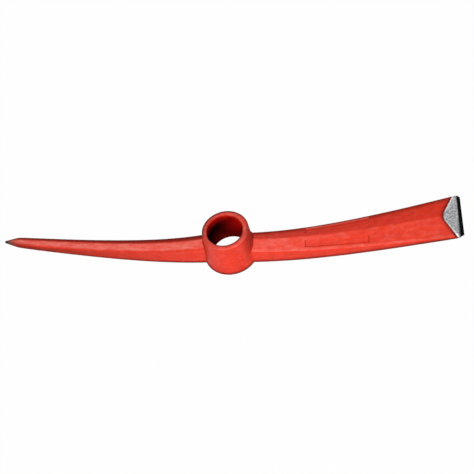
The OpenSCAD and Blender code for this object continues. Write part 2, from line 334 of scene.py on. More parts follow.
def point_size(head, x):
    """Sizes of the point arm, swelling at the collar and narrowing to the end of its tip."""
    arm = head.point
    share = free_share(head, x, arm.reach)
    half_w, foot_w, side, ridge, low = bar_size(head, arm, share, share)
    side = side + arm.swell * np.exp(-np.maximum(0.0, x - head.collar.radius) / arm.swell_len)
    run = (x - arm.joint) / (arm.reach - arm.joint)
    soft = arm.tip_soft
    nose = (run + np.sqrt(run ** 2 + soft ** 2)) / (1 + math.sqrt(1 + soft ** 2))
    sharp = blend(1.0, arm.tip_end_w / arm.end_w, nose)
    return sharp * half_w, sharp * foot_w, sharp * side, sharp * ridge, low


def chisel_bar_size(head, x):
    """Sizes of the chisel arm, before its corners are clipped."""
    share = free_share(head, x, head.chisel.reach)
    return bar_size(head, head.chisel, share, share ** head.chisel.flare)


def clip_start(head):
    """Where the clipped corners and the bit start on the sides: distance and half width."""
    x = head.chisel.reach - head.chisel.bit_side_len
    return x, float(chisel_bar_size(head, np.array(x))[1])


def chisel_size(head, x):
    """Sizes of the chisel arm, with its clipped corners."""
    half_w, foot_w, side, ridge, low = chisel_bar_size(head, x)
    start, start_w = clip_start(head)
    run = np.maximum(0.0, (x - start) / (head.chisel.reach - start))
    clip_w = np.where(run > 0, blend(start_w, head.chisel.edge_w / 2, run), np.inf)
    clipped = np.minimum(half_w, clip_w)
    lost = 1 - clipped / half_w
    return clipped, np.minimum(foot_w, clip_w), side + ridge * lost, ridge * (1 - lost), low


def bevel_height(head, x):
    """Height of the ground bevel and of the land behind the cutting edge."""
    arm = head.chisel
    _, _, side, ridge, low = chisel_bar_size(head, np.array(arm.bit_nose))
    top = float(low + side + ridge)
    edge = head.arms.rise + arm.edge_t
    land_x = arm.reach - arm.land_len
    return np.interp(x, [arm.bit_nose, land_x, arm.reach], [top, edge + arm.land_h, edge])


def bit_seam_x(head, y):
    """Distance of the bit's seam from the axis: a round nose with straight flanks."""
    arm = head.chisel
    front_x, side_y = clip_start(head)
    side_x = np.where(y > 0, arm.reach - arm.bit_rear_len, front_x)
    centre = arm.bit_nose + arm.bit_nose_r
    across = np.abs(y)
    reach = np.hypot(side_x - centre, side_y)
    touch = np.arctan2(side_y, side_x - centre) + np.arccos(arm.bit_nose_r / reach)
    touch_x = centre + arm.bit_nose_r * np.cos(touch)
    touch_y = arm.bit_nose_r * np.sin(touch)
    nose = centre - np.sqrt(np.maximum(0.0, arm.bit_nose_r ** 2 - np.minimum(across, touch_y) ** 2))
    flank = touch_x + (across - touch_y) * (side_x - touch_x) / (side_y - touch_y)
    return np.where(across < touch_y, nose, flank)


# Cross-sections, as lines that run along an arm

SLOPE_LINES = 14
BELOW_PANEL_LINES = 3
PANEL_LINES = 8
ABOVE_PANEL_LINES = 7
ARC_LINES = 7
SIDE_LINES = 12
SIDE_EASE = 1.7  # crowds the lines of a side towards its foot
CORNER_SHARE = 1 / 3  # the most of an edge that a rounded corner takes
WALL_STOPS = np.array([0.0, 0.35, 0.7])  # lines over a panel's wall, in runs of the wall
WALL_FOOT = 0.8  # middle of the line of painted shade at a wall's foot, in runs of the wall
WALL_FOOT_SPREAD = 1.5
STRIP_START = (1.6 * MM, 2.4 * MM)  # where the painted highlight strip between the rear edge and a panel starts
STRIP_SOFTNESS = 0.4 * MM
MEETING_ROUNDS = 12
FLIP = np.array([-1.0, 1.0])
WALL_MARKS = ("foot", "side")
SLOPE_MARKS = ("slope", "crest")
ROOF_MARKS = ("shoulder", *SLOPE_MARKS)


def inner_shares(count):
    """Even shares of a stretch, without its ends."""
    return np.linspace(0, 1, count + 2)[1:-1]


def rounded(before, corner, after, reach, count):
    """Points of a rounded corner. Each of the first three arguments is an array of points."""
    def cut(end):
        run = end - corner
        size = np.linalg.norm(run, axis=-1, keepdims=True)
        return corner + run * np.minimum(reach / size, CORNER_SHARE)
    t = np.linspace(0, 1, count)[:, None]
    start, end = cut(before), cut(after)
    return (1 - t) ** 2 * start + 2 * t * (1 - t) * corner + t ** 2 * end


class Section:
    """Lines of an arm's cross-section, from the underside's middle round the +Y side to the ridge and back.

    The lines of the underside match those of the roof, so that an arm's ends close in plain strips.
    """

    def __init__(self, head, size_at, panel=None):
        self.head = head
        self.size_at = size_at
        self.panel = panel
        half, self.half_marks = self._half(np.array([2 * head.collar.radius]))
        self.half_count = half.shape[1]
        self.count = 2 * self.half_count - 2
        self.far_lines = np.arange(self.half_count - 2, 0, -1)
        self.marks = np.array([*self.half_marks, *(self.half_marks[i] for i in self.far_lines)])
        self.roof = np.isin(self.marks, ROOF_MARKS)

    def _panel_limits(self):
        """Start and end of the panels along the arm, and their lower and upper edge up the slope."""
        panel = self.panel
        return (panel.panel_start, panel.panel_start + panel.panel_len,
                panel.panel_gap, panel.panel_gap + panel.panel_w)

    def _slope_stops(self, start, end):
        """Distances up the slope from the shoulder's corner, with lines along a panel's walls."""
        if self.panel is None:
            return start + (end - start) * inner_shares(SLOPE_LINES)
        _, _, low, high = self._panel_limits()
        wall = self.panel.panel_wall
        floor = np.linspace(low + wall, high - wall, PANEL_LINES)
        fixed = np.concatenate([low + wall * WALL_STOPS, floor, high - wall * WALL_STOPS[::-1]])
        below = start + (low - start) * inner_shares(BELOW_PANEL_LINES)
        above = high + (end - high) * inner_shares(ABOVE_PANEL_LINES)
        return np.concatenate([below, np.tile(fixed, (len(start), 1)), above], axis=1)

    def _half(self, x):
        """Lines of the +Y half at each distance from the axis, and what each line lies on."""
        half_w, foot_w, side, ridge, low = self.size_at(self.head, x)
        reach = self.head.arms.edge_round
        foot = np.stack([foot_w, low], -1)[:, None]
        shoulder = np.stack([half_w, low + side], -1)[:, None]
        crest = np.stack([np.zeros_like(x), low + side + ridge], -1)[:, None]
        foot_arc = rounded(foot * FLIP, foot, shoulder, reach, ARC_LINES)
        shoulder_arc = rounded(foot, shoulder, crest, reach, ARC_LINES)
        crest_arc = rounded(shoulder, crest, shoulder * FLIP, reach, ARC_LINES)[:, :ARC_LINES // 2 + 1]
        run = crest - shoulder
        slope_len = np.linalg.norm(run, axis=-1)
        up = run / slope_len[..., None]
        cut = np.minimum(reach, slope_len * CORNER_SHARE)
        stops = self._slope_stops(cut, slope_len - cut)
        slope = shoulder + up * stops[..., None]
        top = np.concatenate([slope, crest_arc], axis=1)
        scale = foot_arc[:, :1, 0] / shoulder_arc[:, -1:, 0]
        bottom_y = (top[..., 0] * scale)[:, ::-1]
        bottom = np.stack([bottom_y, np.repeat(low[:, None], bottom_y.shape[1], 1)], -1)
        if self.panel is not None:
            out = np.concatenate([up[..., 1:], -up[..., :1]], axis=-1)
            sink = self.panel.panel_depth * self._panel_share(x, stops)
            top[:, :slope.shape[1]] -= out * sink[..., None]
        eased_up = inner_shares(SIDE_LINES)[:, None] ** SIDE_EASE
        side_run = blend(foot_arc[:, -1:], shoulder_arc[:, :1], eased_up)
        marks = (["bottom"] * bottom.shape[1] + ["foot"] * ARC_LINES + ["side"] * SIDE_LINES
                 + ["shoulder"] * ARC_LINES + ["slope"] * slope.shape[1] + ["crest"] * crest_arc.shape[1])
        return np.concatenate([bottom, foot_arc, side_run, shoulder_arc, top], axis=1), marks

    def _panel_share(self, x, stops):
        """How deep a point lies in a panel: 1 on its floor, 0 outside it."""
        start, end, low, high = self._panel_limits()
        along = np.minimum(x - start, end - x)[:, None]
        up = np.minimum(stops - low, high - stops)
        share = np.clip(np.minimum(along, up) / self.panel.panel_wall, 0.0, 1.0)
        return share * share * (3 - 2 * share)

    def panel_marks(self, rows):
        """Weights of the foot of the panels' walls, of their floors, and of the rear strip below a panel."""
        start, end, low, high = self._panel_limits()
        x, y = rows[..., 0], rows[..., 1]
        half_w, _, _, ridge, _ = self.size_at(self.head, x)
        up = (half_w - np.abs(y)) * np.hypot(half_w, ridge) / half_w

        def wall_line(distance):
            from_foot = np.abs(distance / self.panel.panel_wall - WALL_FOOT)
            return np.clip(WALL_FOOT_SPREAD - from_foot, 0.0, 1.0)

        front, rear = y < 0, y > 0
        across = (up > low) * (up < high)
        along = (x > start) * (x < end)
        slopes = self.marks == "slope"
        lower = wall_line(up - low) * along * front
        ends = np.maximum(wall_line(x - start), wall_line(end - x) * front) * across
        strip_end = fade_in(up, low + STRIP_SOFTNESS, low - STRIP_SOFTNESS)
        strip = rear * along * fade_in(up, *STRIP_START) * strip_end
        return np.maximum(lower, ends) * slopes, across * along * slopes, strip

    def ring(self, x):
        """The whole ring where each line has its own distance from the axis: points of shape (lines, 3)."""
        near_half, _ = self._half(x[:self.half_count])
        near = np.diagonal(near_half, axis1=0, axis2=1).T
        far_half, _ = self._half(x[self.half_count:])
        far = far_half[np.arange(len(self.far_lines)), self.far_lines] * FLIP
        return np.concatenate([x[:, None], np.concatenate([near, far])], axis=1)

    def boundary(self, guess, surface):
        """Where each line meets a surface given as x = surface(y, z), found by repeated substitution."""
        x = np.full(self.count, float(guess))
        for _ in range(MEETING_ROUNDS):
            ring = self.ring(x)
            x = surface(ring[:, 1], ring[:, 2])
        return x


def point_section(head):
    return Section(head, point_size)


def chisel_section(head):
    return Section(head, chisel_size, head.chisel)


def saddle(head, sink):
    """The collar's outside as x = f(y, z), sunk into its wall."""
    return lambda y, z: np.sqrt(np.maximum(0.0, (collar_radius_at(head, z) - sink) ** 2 - y ** 2))


# Meshes

DOUBLES = 1e-7
SMOOTH_DEGREES = 32
BIT_SMOOTH_DEGREES = 18
BEAD_SMOOTH_DEGREES = 60


def loft_faces(rows, section):
    """Quads of a closed skin over rings of lines, with strips that close both ends."""
    n, marks = section.count, section.half_marks
    faces = []
    for a in range(0, (rows - 1) * n, n):
        b = a + n
        for j in range(n):
            k = (j + 1) % n
            faces.append((a + j, a + k, b + k, b + j))
    top = [j for j, mark in enumerate(marks) if mark in SLOPE_MARKS]
    bottom = [j for j, mark in enumerate(marks) if mark == "bottom"][::-1]
    strips = list(zip(top, bottom))
    caps = [(t0, t1, b1, b0) for (t0, b0), (t1, b1) in zip(strips, strips[1:])]
    caps.append(tuple(range(bottom[0], top[0] + 1)))
    for base in (0, (rows - 1) * n):
        for cap in caps:
            faces.append(tuple(base + j for j in cap))
            faces.append(tuple(base + (n - j) % n for j in cap))
    return faces


def new_object(name, points, faces, edges=()):
    mesh = bpy.data.meshes.new(name)
    mesh.from_pydata([tuple(p) for p in points], list(edges), faces)
    piece = bpy.data.objects.new(name, mesh)
    bpy.context.scene.collection.objects.link(piece)
    return piece


def face_outwards(mesh):
    """Merges doubled points and points every face outwards."""
    shape = bmesh.new()
    shape.from_mesh(mesh)
    bmesh.ops.remove_doubles(shape, verts=shape.verts, dist=DOUBLES)
    bmesh.ops.recalc_face_normals(shape, faces=shape.faces)
    if shape.calc_volume(signed=True) < 0:
        bmesh.ops.reverse_faces(shape, faces=shape.faces)
    shape.to_mesh(mesh)
    shape.free()


def add_attribute(mesh, name, values):
    attribute = mesh.attributes.new(name, "FLOAT", "POINT")
    attribute.data.foreach_set("value", np.asarray(values, np.float32).ravel())


def mesh_points(mesh):
    return np.array([v.co for v in mesh.vertices])


def finish_piece(piece, material, node, smooth_degrees=SMOOTH_DEGREES):
    """Smooth shading, material and place in the frame of a finished piece."""
    mesh = piece.data
    mesh.shade_smooth()
    mesh.set_sharp_from_angle(angle=math.radians(smooth_degrees))
    mesh.materials.clear()
    mesh.materials.append(material)
    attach(piece, BODY)
    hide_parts(node)


# Geometry Nodes

BEAD_SIDES = 20
BEAD_TAPER = 0.25  # how late a bead fades out towards its ends
BEAD_TIP = 0.002  # keeps a little of the bead at its very ends


def new_tree(name, inputs):
    """A geometry tree with named inputs: name, socket type and default."""
    tree = bpy.data.node_groups.new(name, "GeometryNodeTree")
    tree.interface.new_socket("Geometry", in_out="INPUT", socket_type="NodeSocketGeometry")
    for label, kind, default in inputs:
        socket = tree.interface.new_socket(label, in_out="INPUT", socket_type=kind)
        if default is not None:
            socket.default_value = default
    tree.interface.new_socket("Geometry", in_out="OUTPUT", socket_type="NodeSocketGeometry")
    return tree, tree.nodes.new("NodeGroupInput").outputs, tree.nodes.new("NodeGroupOutput")


def set_inputs(tree, node, inputs):
    """Links a node's inputs to sockets, or sets them to values."""
    for key, value in inputs.items():
        if isinstance(value, bpy.types.NodeSocket):
            tree.links.new(value, node.inputs[key])
        else:
            node.inputs[key].default_value = value


def add_node(tree, kind, inputs=None, **settings):
    """A node with its settings, whose inputs are linked to sockets or set to values."""
    node = tree.nodes.new(kind)
    for key, value in settings.items():
        setattr(node, key, value)
    set_inputs(tree, node, inputs or {})
    return node


def math_node(tree, operation, first, second=0.0, third=0.0):
    return add_node(tree, "ShaderNodeMath", {0: first, 1: second, 2: third}, operation=operation).outputs[0]


def close_tree(tree, geometry, material, group_out):
    """Ends a tree in Realize Instances and Set Material."""
    real = add_node(tree, "GeometryNodeRealizeInstances", {"Geometry": geometry})
    shaded = add_node(tree, "GeometryNodeSetMaterial", {"Geometry": real.outputs[0], "Material": material})
    tree.links.new(shaded.outputs[0], group_out.inputs[0])


def turn_to_mesh(piece, tree, values):
    """Runs a tree on a piece and keeps the result as its plain mesh."""
    modifier = piece.modifiers.new(tree.name, "NODES")
    modifier.node_group = tree
    for item in tree.interface.items_tree:
        if item.in_out == "INPUT" and item.name in values:
            modifier[item.identifier] = values[item.name]
    graph = bpy.context.evaluated_depsgraph_get()
    mesh = bpy.data.meshes.new_from_object(piece.evaluated_get(graph), depsgraph=graph)
    piece.modifiers.remove(modifier)
    piece.data = mesh


def turned_ring_tree():
    """Turns an outline of radius and depth round the axis of the eye."""
    tree, given, end = new_tree("Turned ring", [
        ("Path Radius", "NodeSocketFloat", 0.02),
        ("Segments", "NodeSocketInt", 96),
        ("Material", "NodeSocketMaterial", None),
    ])
    outline = add_node(tree, "GeometryNodeMeshToCurve", {"Mesh": given["Geometry"]})
    path = add_node(tree, "GeometryNodeCurvePrimitiveCircle", {
        "Resolution": given["Segments"], "Radius": given["Path Radius"]})
    ring = add_node(tree, "GeometryNodeCurveToMesh", {
        "Curve": path.outputs[0], "Profile Curve": outline.outputs[0]})
    close_tree(tree, ring.outputs[0], given["Material"], end)
    return tree


def forged_skin_tree():
    """Moves a skin in and out in slow waves, where the attribute "free" lets it."""
    tree, given, end = new_tree("Forged skin", [
        ("Wave", "NodeSocketFloat", 0.0002),
        ("Scale", "NodeSocketFloat", 40.0),
        ("Seed", "NodeSocketInt", 0),
        ("Material", "NodeSocketMaterial", None),
    ])
    free = add_node(tree, "GeometryNodeInputNamedAttribute", {"Name": "free"})
    noise = add_node(tree, "ShaderNodeTexNoise", {
        "W": given["Seed"], "Scale": given["Scale"], "Detail": 3.0, "Roughness": 0.75}, noise_dimensions="4D")
    swing = math_node(tree, "MULTIPLY_ADD", noise.outputs[0], 2.0, -1.0)
    height = math_node(tree, "MULTIPLY", swing, given["Wave"])
    height = math_node(tree, "MULTIPLY", height, free.outputs[0])
    normal = add_node(tree, "GeometryNodeInputNormal").outputs[0]
    offset = add_node(tree, "ShaderNodeVectorMath", {0: normal, "Scale": height}, operation="SCALE")
    moved = add_node(tree, "GeometryNodeSetPosition", {
        "Geometry": given["Geometry"], "Offset": offset.outputs[0]})
    close_tree(tree, moved.outputs[0], given["Material"], end)
    return tree


def weld_bead_tree():
    """Lays a rippled bead along a path, fading out at both of its ends."""
    tree, given, end = new_tree("Weld bead", [
        ("Radius", "NodeSocketFloat", 0.002),
        ("Ripple", "NodeSocketFloat", 0.1),
        ("Pitch", "NodeSocketFloat", 0.002),
        ("Step", "NodeSocketFloat", 0.0004),
        ("Material", "NodeSocketMaterial", None),
    ])
    path = add_node(tree, "GeometryNodeMeshToCurve", {"Mesh": given["Geometry"]})
    even = add_node(tree, "GeometryNodeResampleCurve", {
        "Curve": path.outputs[0], "Length": given["Step"]}, mode="LENGTH")
    place = add_node(tree, "GeometryNodeSplineParameter").outputs
    turns = math_node(tree, "DIVIDE", place["Length"], given["Pitch"])
    wave = math_node(tree, "SINE", math_node(tree, "MULTIPLY", turns, 2 * math.pi))
    swell = math_node(tree, "MULTIPLY_ADD", wave, given["Ripple"], 1.0)
    middle = math_node(tree, "SINE", math_node(tree, "MULTIPLY", place["Factor"], math.pi))
    fade = math_node(tree, "POWER", math_node(tree, "MAXIMUM", middle, BEAD_TIP), BEAD_TAPER)
    radius = math_node(tree, "MULTIPLY", math_node(tree, "MULTIPLY", swell, fade), given["Radius"])
    profile = add_node(tree, "GeometryNodeCurvePrimitiveCircle", {"Resolution": BEAD_SIDES, "Radius": 1.0})
    bead = add_node(tree, "GeometryNodeCurveToMesh", {
        "Curve": even.outputs[0], "Profile Curve": profile.outputs[0], "Scale": radius, "Fill Caps": True})
    close_tree(tree, bead.outputs[0], given["Material"], end)
    return tree


# Materials. A noise is its scale, detail and roughness. A range is where a value starts and ends,
# followed by what it becomes there if that is not 0 and 1.

CLOUD_NOISE = (120.0, 5.0, 0.7)
GRAIN_NOISE = (520.0, 4.0, 0.65)
STREAK_NOISE = (260.0, 5.0, 0.65)
STREAK_STRETCH = (0.35, 1.0, 1.0)
STREAK_HEIGHT = 0.8  # against the height of the grain
MOTTLE = (0.76, 1.24)
SHEEN_PATCHES = (0.35, 0.7, 0.4, 1.5)
SCUFFS = (0.52, 0.72, 0.0, 0.16)
BROKEN_SHADE_AND_DIRT = (0.3, 0.7, 0.75, 1.2)
SPECKS = (0.56, 0.72, 0.0, 0.16)
CLEAN_ROUGHNESS = (0.3, 0.7, 0.36, 0.52)
SHADE_AND_DIRT_ROUGHNESS = (0.1, 0.45, 0.36, 0.95)
ENAMEL_BUMP = (0.35, 0.3 * MM)  # strength and depth

EYE_EDGE_NOISE = (160.0, 4.0, 0.6)
EYE_EDGE_SHIFT = (0.3, 0.7, -1.5 * MM, 1.5 * MM)
MOUTH_EDGE = 0.5 * MM  # how far past the mouth's edge the lining starts
# Painted light inside the eye: where its wall is lit red, across the eye, near the wide rim, under the narrow
# rim and towards the chisel.
LIT_ACROSS = (-13 * MM, 12 * MM)
LIT_EASE = 1.5
LIT_LOW = (24 * MM, 0.0, 0.0, 0.5)
LIT_UNDER_RIM = (2.5 * MM, 13 * MM, 1.0, 0.0)
LIT_AT_CHISEL = (12 * MM, 19.5 * MM)
ENAMEL_REACH = (-20 * MM, 15 * MM, 3.5 * MM, 8 * MM)  # depth that the outer enamel reaches into the eye
ENAMEL_EASE = 0.7
FOOT_LINING = (12 * MM, 0.8, 1.0)  # height of the full lining, and its shares at the foot and there
EYE_BUMP = (0.5, 0.4 * MM)
DULL_ROUGHNESS = 0.9

GRIND_NOISE = (900.0, 4.0, 0.7)
GRIND_STRETCH = (1.0, 0.25, 1.0)
GRIND_ROUGHNESS = (0.3, 0.7, 0.66, 0.86)
GRIND_BUMP = (0.4, 0.15 * MM)
SPOT_NOISE = (480.0, 4.0, 0.7)
SPOTS = (0.38, 0.62)
BROKEN_LIP = (0.4, 0.6, 0.5, 1.2)

TIP_EDGE_NOISE = (500.0, 3.0, 0.6)
TIP_EDGE_SHIFT = (0.3, 0.7, -1.2 * MM, 1.2 * MM)
BARE_TIP = (13 * MM, 5 * MM)  # distances from the very point
BLACK_TIP = (4.8 * MM, 2.2 * MM)
BLACK_EDGES = (0.3, 0.75, 0.0, 0.95)


def new_material(name):
    """A material with its tree and its Principled shader."""
    material = bpy.data.materials.new(name)
    material.use_nodes = True
    return material, material.node_tree, material.node_tree.nodes["Principled BSDF"]


def object_place(tree):
    return add_node(tree, "ShaderNodeTexCoord").outputs["Object"]


def rgba(value):
    return (*value, 1.0)


def noise_node(tree, vector, scale, detail, roughness):
    return add_node(tree, "ShaderNodeTexNoise", {
        "Vector": vector, "Scale": scale, "Detail": detail, "Roughness": roughness}).outputs[0]


def map_range(tree, value, low, high, out_low=0.0, out_high=1.0):
    return add_node(tree, "ShaderNodeMapRange", {
        "Value": value, "From Min": low, "From Max": high, "To Min": out_low, "To Max": out_high}).outputs[0]


def mix_colour(tree, factor, first, second):
    """Mixes two colours, each a socket or a plain colour."""
    colours = [c if isinstance(c, bpy.types.NodeSocket) else rgba(c) for c in (first, second)]
    mix = add_node(tree, "ShaderNodeMix", {0: factor, 6: colours[0], 7: colours[1]}, data_type="RGBA")
    return mix.outputs[2]


def stretched(tree, vector, scale):
    return add_node(tree, "ShaderNodeMapping", {"Vector": vector, "Scale": scale}).outputs[0]


def attribute_node(tree, name):
    return add_node(tree, "ShaderNodeAttribute", attribute_name=name).outputs["Fac"]


def bump_node(tree, height, strength, distance):
    return add_node(tree, "ShaderNodeBump", {
        "Height": height, "Strength": strength, "Distance": distance}).outputs[0]


def enamel_nodes(tree, paint, place):
    """Colour, roughness and height of the enamel, lightened towards pink by painted sheen and highlights and
    darkened towards maroon by painted shade.
    """
    cloud = noise_node(tree, place, *CLOUD_NOISE)
    grain = noise_node(tree, place, *GRAIN_NOISE)
    streak = noise_node(tree, stretched(tree, place, STREAK_STRETCH), *STREAK_NOISE)
    mottle = map_range(tree, math_node(tree, "ADD", cloud, grain), *MOTTLE)
    base = mix_colour(tree, mottle, paint.deep_red, paint.red)
    patchy = map_range(tree, streak, *SHEEN_PATCHES)
    scuff = map_range(tree, streak, *SCUFFS)
    # Painted sheen: the piece's sheen weight, broken into patches, plus random scuffs.
    lightened = math_node(tree, "MULTIPLY_ADD", attribute_node(tree, "bloom"), patchy, scuff)
    # The enamel lightened towards pink by painted sheen and by random scuffs.
    worn = mix_colour(tree, lightened, base, paint.sheen_pink)
    broken = map_range(tree, grain, *BROKEN_SHADE_AND_DIRT)
    # Painted shade, with the darkening towards the arms' ends, broken up by grain; random specks add to it.
    crease = math_node(tree, "MULTIPLY", attribute_node(tree, "crease"), broken)
    darkening = math_node(tree, "ADD", crease, map_range(tree, grain, *SPECKS))
    clean = map_range(tree, grain, *CLEAN_ROUGHNESS)
    roughness = math_node(tree, "MAXIMUM", clean, map_range(tree, crease, *SHADE_AND_DIRT_ROUGHNESS))
    height = math_node(tree, "MULTIPLY_ADD", streak, STREAK_HEIGHT, grain)
    return mix_colour(tree, darkening, worn, paint.shade_maroon), roughness, height


def coat(tree, shader, head, colour_out, roughness, height):
    """Gives a shader the colour, roughness, bump and gloss of the enamel."""
    set_inputs(tree, shader, {
        "Base Color": colour_out, "Roughness": roughness, "Specular IOR Level": head.paint.gloss,
        "Normal": bump_node(tree, height, *ENAMEL_BUMP)})


def red_enamel(head):
    """Red enamel over forged steel, with the painted sheen, highlights and shade that its pieces carry."""
    found = bpy.data.materials.get("red_enamel")
    if found:
        return found
    material, tree, shader = new_material("red_enamel")
    coat(tree, shader, head, *enamel_nodes(tree, head.paint, object_place(tree)))
    return material


def eye_lining(head):
    """Inside of the eye: enamel that goes over into a dark lining with depth, painted shade that also stands
    for forging scale, lit red as painted light towards the chisel, under the narrow rim and near the wide
    rim.
    """
    paint, collar = head.paint, head.collar
    material, tree, shader = new_material("eye_lining")
    place = object_place(tree)
    enamel, _, height = enamel_nodes(tree, paint, place)
    axes = add_node(tree, "ShaderNodeSeparateXYZ", {0: place}).outputs
    shift = map_range(tree, noise_node(tree, place, *EYE_EDGE_NOISE), *EYE_EDGE_SHIFT)
    across = math_node(tree, "ADD", axes["X"], shift)
    high = math_node(tree, "ADD", axes["Z"], shift)
    flat = add_node(tree, "ShaderNodeVectorMath", {0: place, 1: (1.0, 1.0, 0.0)}, operation="MULTIPLY")
    radius = add_node(tree, "ShaderNodeVectorMath", {0: flat.outputs[0]}, operation="LENGTH").outputs["Value"]
    mouth = collar.height + collar.eye_radius + collar.mouth_round - MOUTH_EDGE
    depth = math_node(tree, "SUBTRACT", mouth, math_node(tree, "ADD", high, radius))
    # Painted light: the wall shows lit red towards the chisel, under the narrow rim and near the wide rim,
    # and painted shade elsewhere.
    lit_share = math_node(tree, "POWER", map_range(tree, across, *LIT_ACROSS), LIT_EASE)
    for more in (map_range(tree, high, *LIT_LOW), map_range(tree, depth, *LIT_UNDER_RIM)):
        lit_share = math_node(tree, "MAXIMUM", lit_share, more)
    lining = mix_colour(tree, lit_share, paint.scale, paint.eye_lit_red)
    lining = mix_colour(tree, map_range(tree, axes["X"], *LIT_AT_CHISEL), lining, paint.deep_red)
    # The outer enamel reaches a little way into the eye and darkens with depth into the lining, as painted
    # shade.
    reach = map_range(tree, axes["X"], *ENAMEL_REACH)
    share = add_node(tree, "ShaderNodeMath", {0: depth, 1: reach}, operation="DIVIDE", use_clamp=True)
    under_rim = math_node(tree, "POWER", share.outputs[0], ENAMEL_EASE)
    over_foot = map_range(tree, high, collar.rim_round, *FOOT_LINING)
    deep = math_node(tree, "MULTIPLY", under_rim, over_foot)
    set_inputs(tree, shader, {
        "Base Color": mix_colour(tree, deep, enamel, lining), "Roughness": DULL_ROUGHNESS,
        "Specular IOR Level": 0.0, "Normal": bump_node(tree, height, *EYE_BUMP)})
    return material


def ground_steel(head):
    """Coarsely ground steel, with a painted highlight on the lip along its seam and a black land that is
    partly hardened steel and partly a painted dark reflection.
    """
    steel = head.steel
    material, tree, shader = new_material("ground_steel")
    place = object_place(tree)
    grind = noise_node(tree, stretched(tree, place, GRIND_STRETCH), *GRIND_NOISE)
    spots = noise_node(tree, place, *SPOT_NOISE)
    base = mix_colour(tree, map_range(tree, spots, *SPOTS), steel.dull, steel.ground)
    broken = map_range(tree, spots, *BROKEN_LIP)
    # Painted highlight on the lip along the seam, broken into spots.
    lit = math_node(tree, "MULTIPLY", attribute_node(tree, "lip"), broken)
    lip = mix_colour(tree, lit, base, steel.bright)
    height = math_node(tree, "ADD", grind, spots)
    set_inputs(tree, shader, {
        "Base Color": mix_colour(tree, attribute_node(tree, "land"), lip, steel.black), "Metallic": 1.0,
        "Roughness": map_range(tree, grind, *GRIND_ROUGHNESS),
        "Normal": bump_node(tree, height, *GRIND_BUMP)})
    return material


def worn_tip(head):
    """Enamel worn away to brown and black steel at the very point, with the painted shade along its edges
    shown as black steel.
    """
    material, tree, shader = new_material("worn_tip")
    place = object_place(tree)
    enamel, roughness, height = enamel_nodes(tree, head.paint, place)
    along = add_node(tree, "ShaderNodeSeparateXYZ", {0: place}).outputs["X"]
    shift = map_range(tree, noise_node(tree, place, *TIP_EDGE_NOISE), *TIP_EDGE_SHIFT)
    spot = math_node(tree, "ADD", along, shift)
    end = -head.point.reach
    bare, black = (map_range(tree, spot, end + start, end + full) for start, full in (BARE_TIP, BLACK_TIP))
    # Painted shade along the tip's edges turns to black steel.
    edges = map_range(tree, attribute_node(tree, "crease"), *BLACK_EDGES)
    steel = mix_colour(tree, math_node(tree, "MAXIMUM", black, edges), head.steel.brown, head.steel.black)
    coat(tree, shader, head, mix_colour(tree, bare, enamel, steel), roughness, height)
    return material


# Pieces

ROOT_STATION = 40 * MM
SEAM_STATION = 226 * MM
ROW_STEP = 1.3 * MM
CLOSEST_ROW = 0.4 * ROW_STEP
STILL_END = 8 * MM  # length at an arm's end over which its forged skin calms down
ROOT_SHARES = np.linspace(0, 1, 10)[:-1]
TIP_SHARES = np.linspace(0, 1, 26)
SEAM_SHARES = (0.0, 0.02, 0.05, 0.09, 0.14, 0.2)
LAST_ARM_ROWS = 6
BEVEL_SHARES = (*SEAM_SHARES, *np.linspace(0.26, 1, 26))
LAND_SHARES = np.linspace(0, 1, 12)[1:]
SEAM_LEAN = 0.87  # distance across the leaning seam, against the distance along the arm
SEAM_EASE = 1.5


def lay_rows(section, stations):
    """Rings of an arm from stations, each a distance or a list of distances for the lines."""
    rows = [np.broadcast_to(np.asarray(s, float), (section.count,)) for s in stations]
    return np.stack([section.ring(np.array(row)) for row in rows])


def eased(start, end, shares):
    return [blend(start, end, s) for s in shares]


def root_stations(head, section):
    """Stations from the collar's wall up to the first even one."""
    seat = section.boundary(head.collar.radius, saddle(head, head.arms.sink))
    return eased(seat, ROOT_STATION, ROOT_SHARES)


def body_stations(first, last, fixed=()):
    """Even stations between two distances, with the fixed ones among them."""
    count = int(round((last - first) / ROW_STEP))
    even = [x for x in np.linspace(first, last, count + 1)
            if all(abs(x - f) > CLOSEST_ROW for f in fixed) or x in (first, last)]
    return sorted([*even, *fixed])


def bit_seam(head, section):
    """Where each line of the chisel arm meets the bit's seam."""
    return section.boundary(head.chisel.bit_nose, lambda y, z: bit_seam_x(head, y))


def seam_dip(head, distance):
    """Depth of the groove at a distance from the bit's seam."""
    share = np.clip(1 - distance / head.chisel.seam_run, 0.0, 1.0)
    return head.chisel.seam * share ** SEAM_EASE


def mirror_x(points):
    return points * np.array([-1.0, 1.0, 1.0])


def loft_piece(name, section, rows, attributes, mirrored=False):
    """A closed skin over the rings of an arm, with its attributes."""
    points = rows.reshape(-1, 3)
    if mirrored:
        points = mirror_x(points)
    piece = new_object(name, points, loft_faces(len(rows), section))
    for attribute, values in attributes.items():
        add_attribute(piece.data, attribute, values)
    face_outwards(piece.data)
    return piece


def forged_arm(name, node, section, rows, wear, to_end, mirrored=False):
    """A painted arm, whose forged skin waves except at the collar and at the arm's end."""
    head = section.head
    free = fade_in(rows[..., 0], head.collar.radius, ROOT_STATION) * fade_in(to_end, 0, STILL_END)
    piece = loft_piece(name, section, rows, {**wear, "free": free}, mirrored)
    turn_to_mesh(piece, forged_skin_tree(), {
        "Wave": head.arms.wave, "Scale": head.arms.wave_scale, "Seed": head.arms.wave_seed,
        "Material": red_enamel(head)})
    finish_piece(piece, red_enamel(head), node)


# Painted shade, painted highlights and sheen of the arms, and their darkening towards the ends. A run is
# where a mark starts and where it is full.

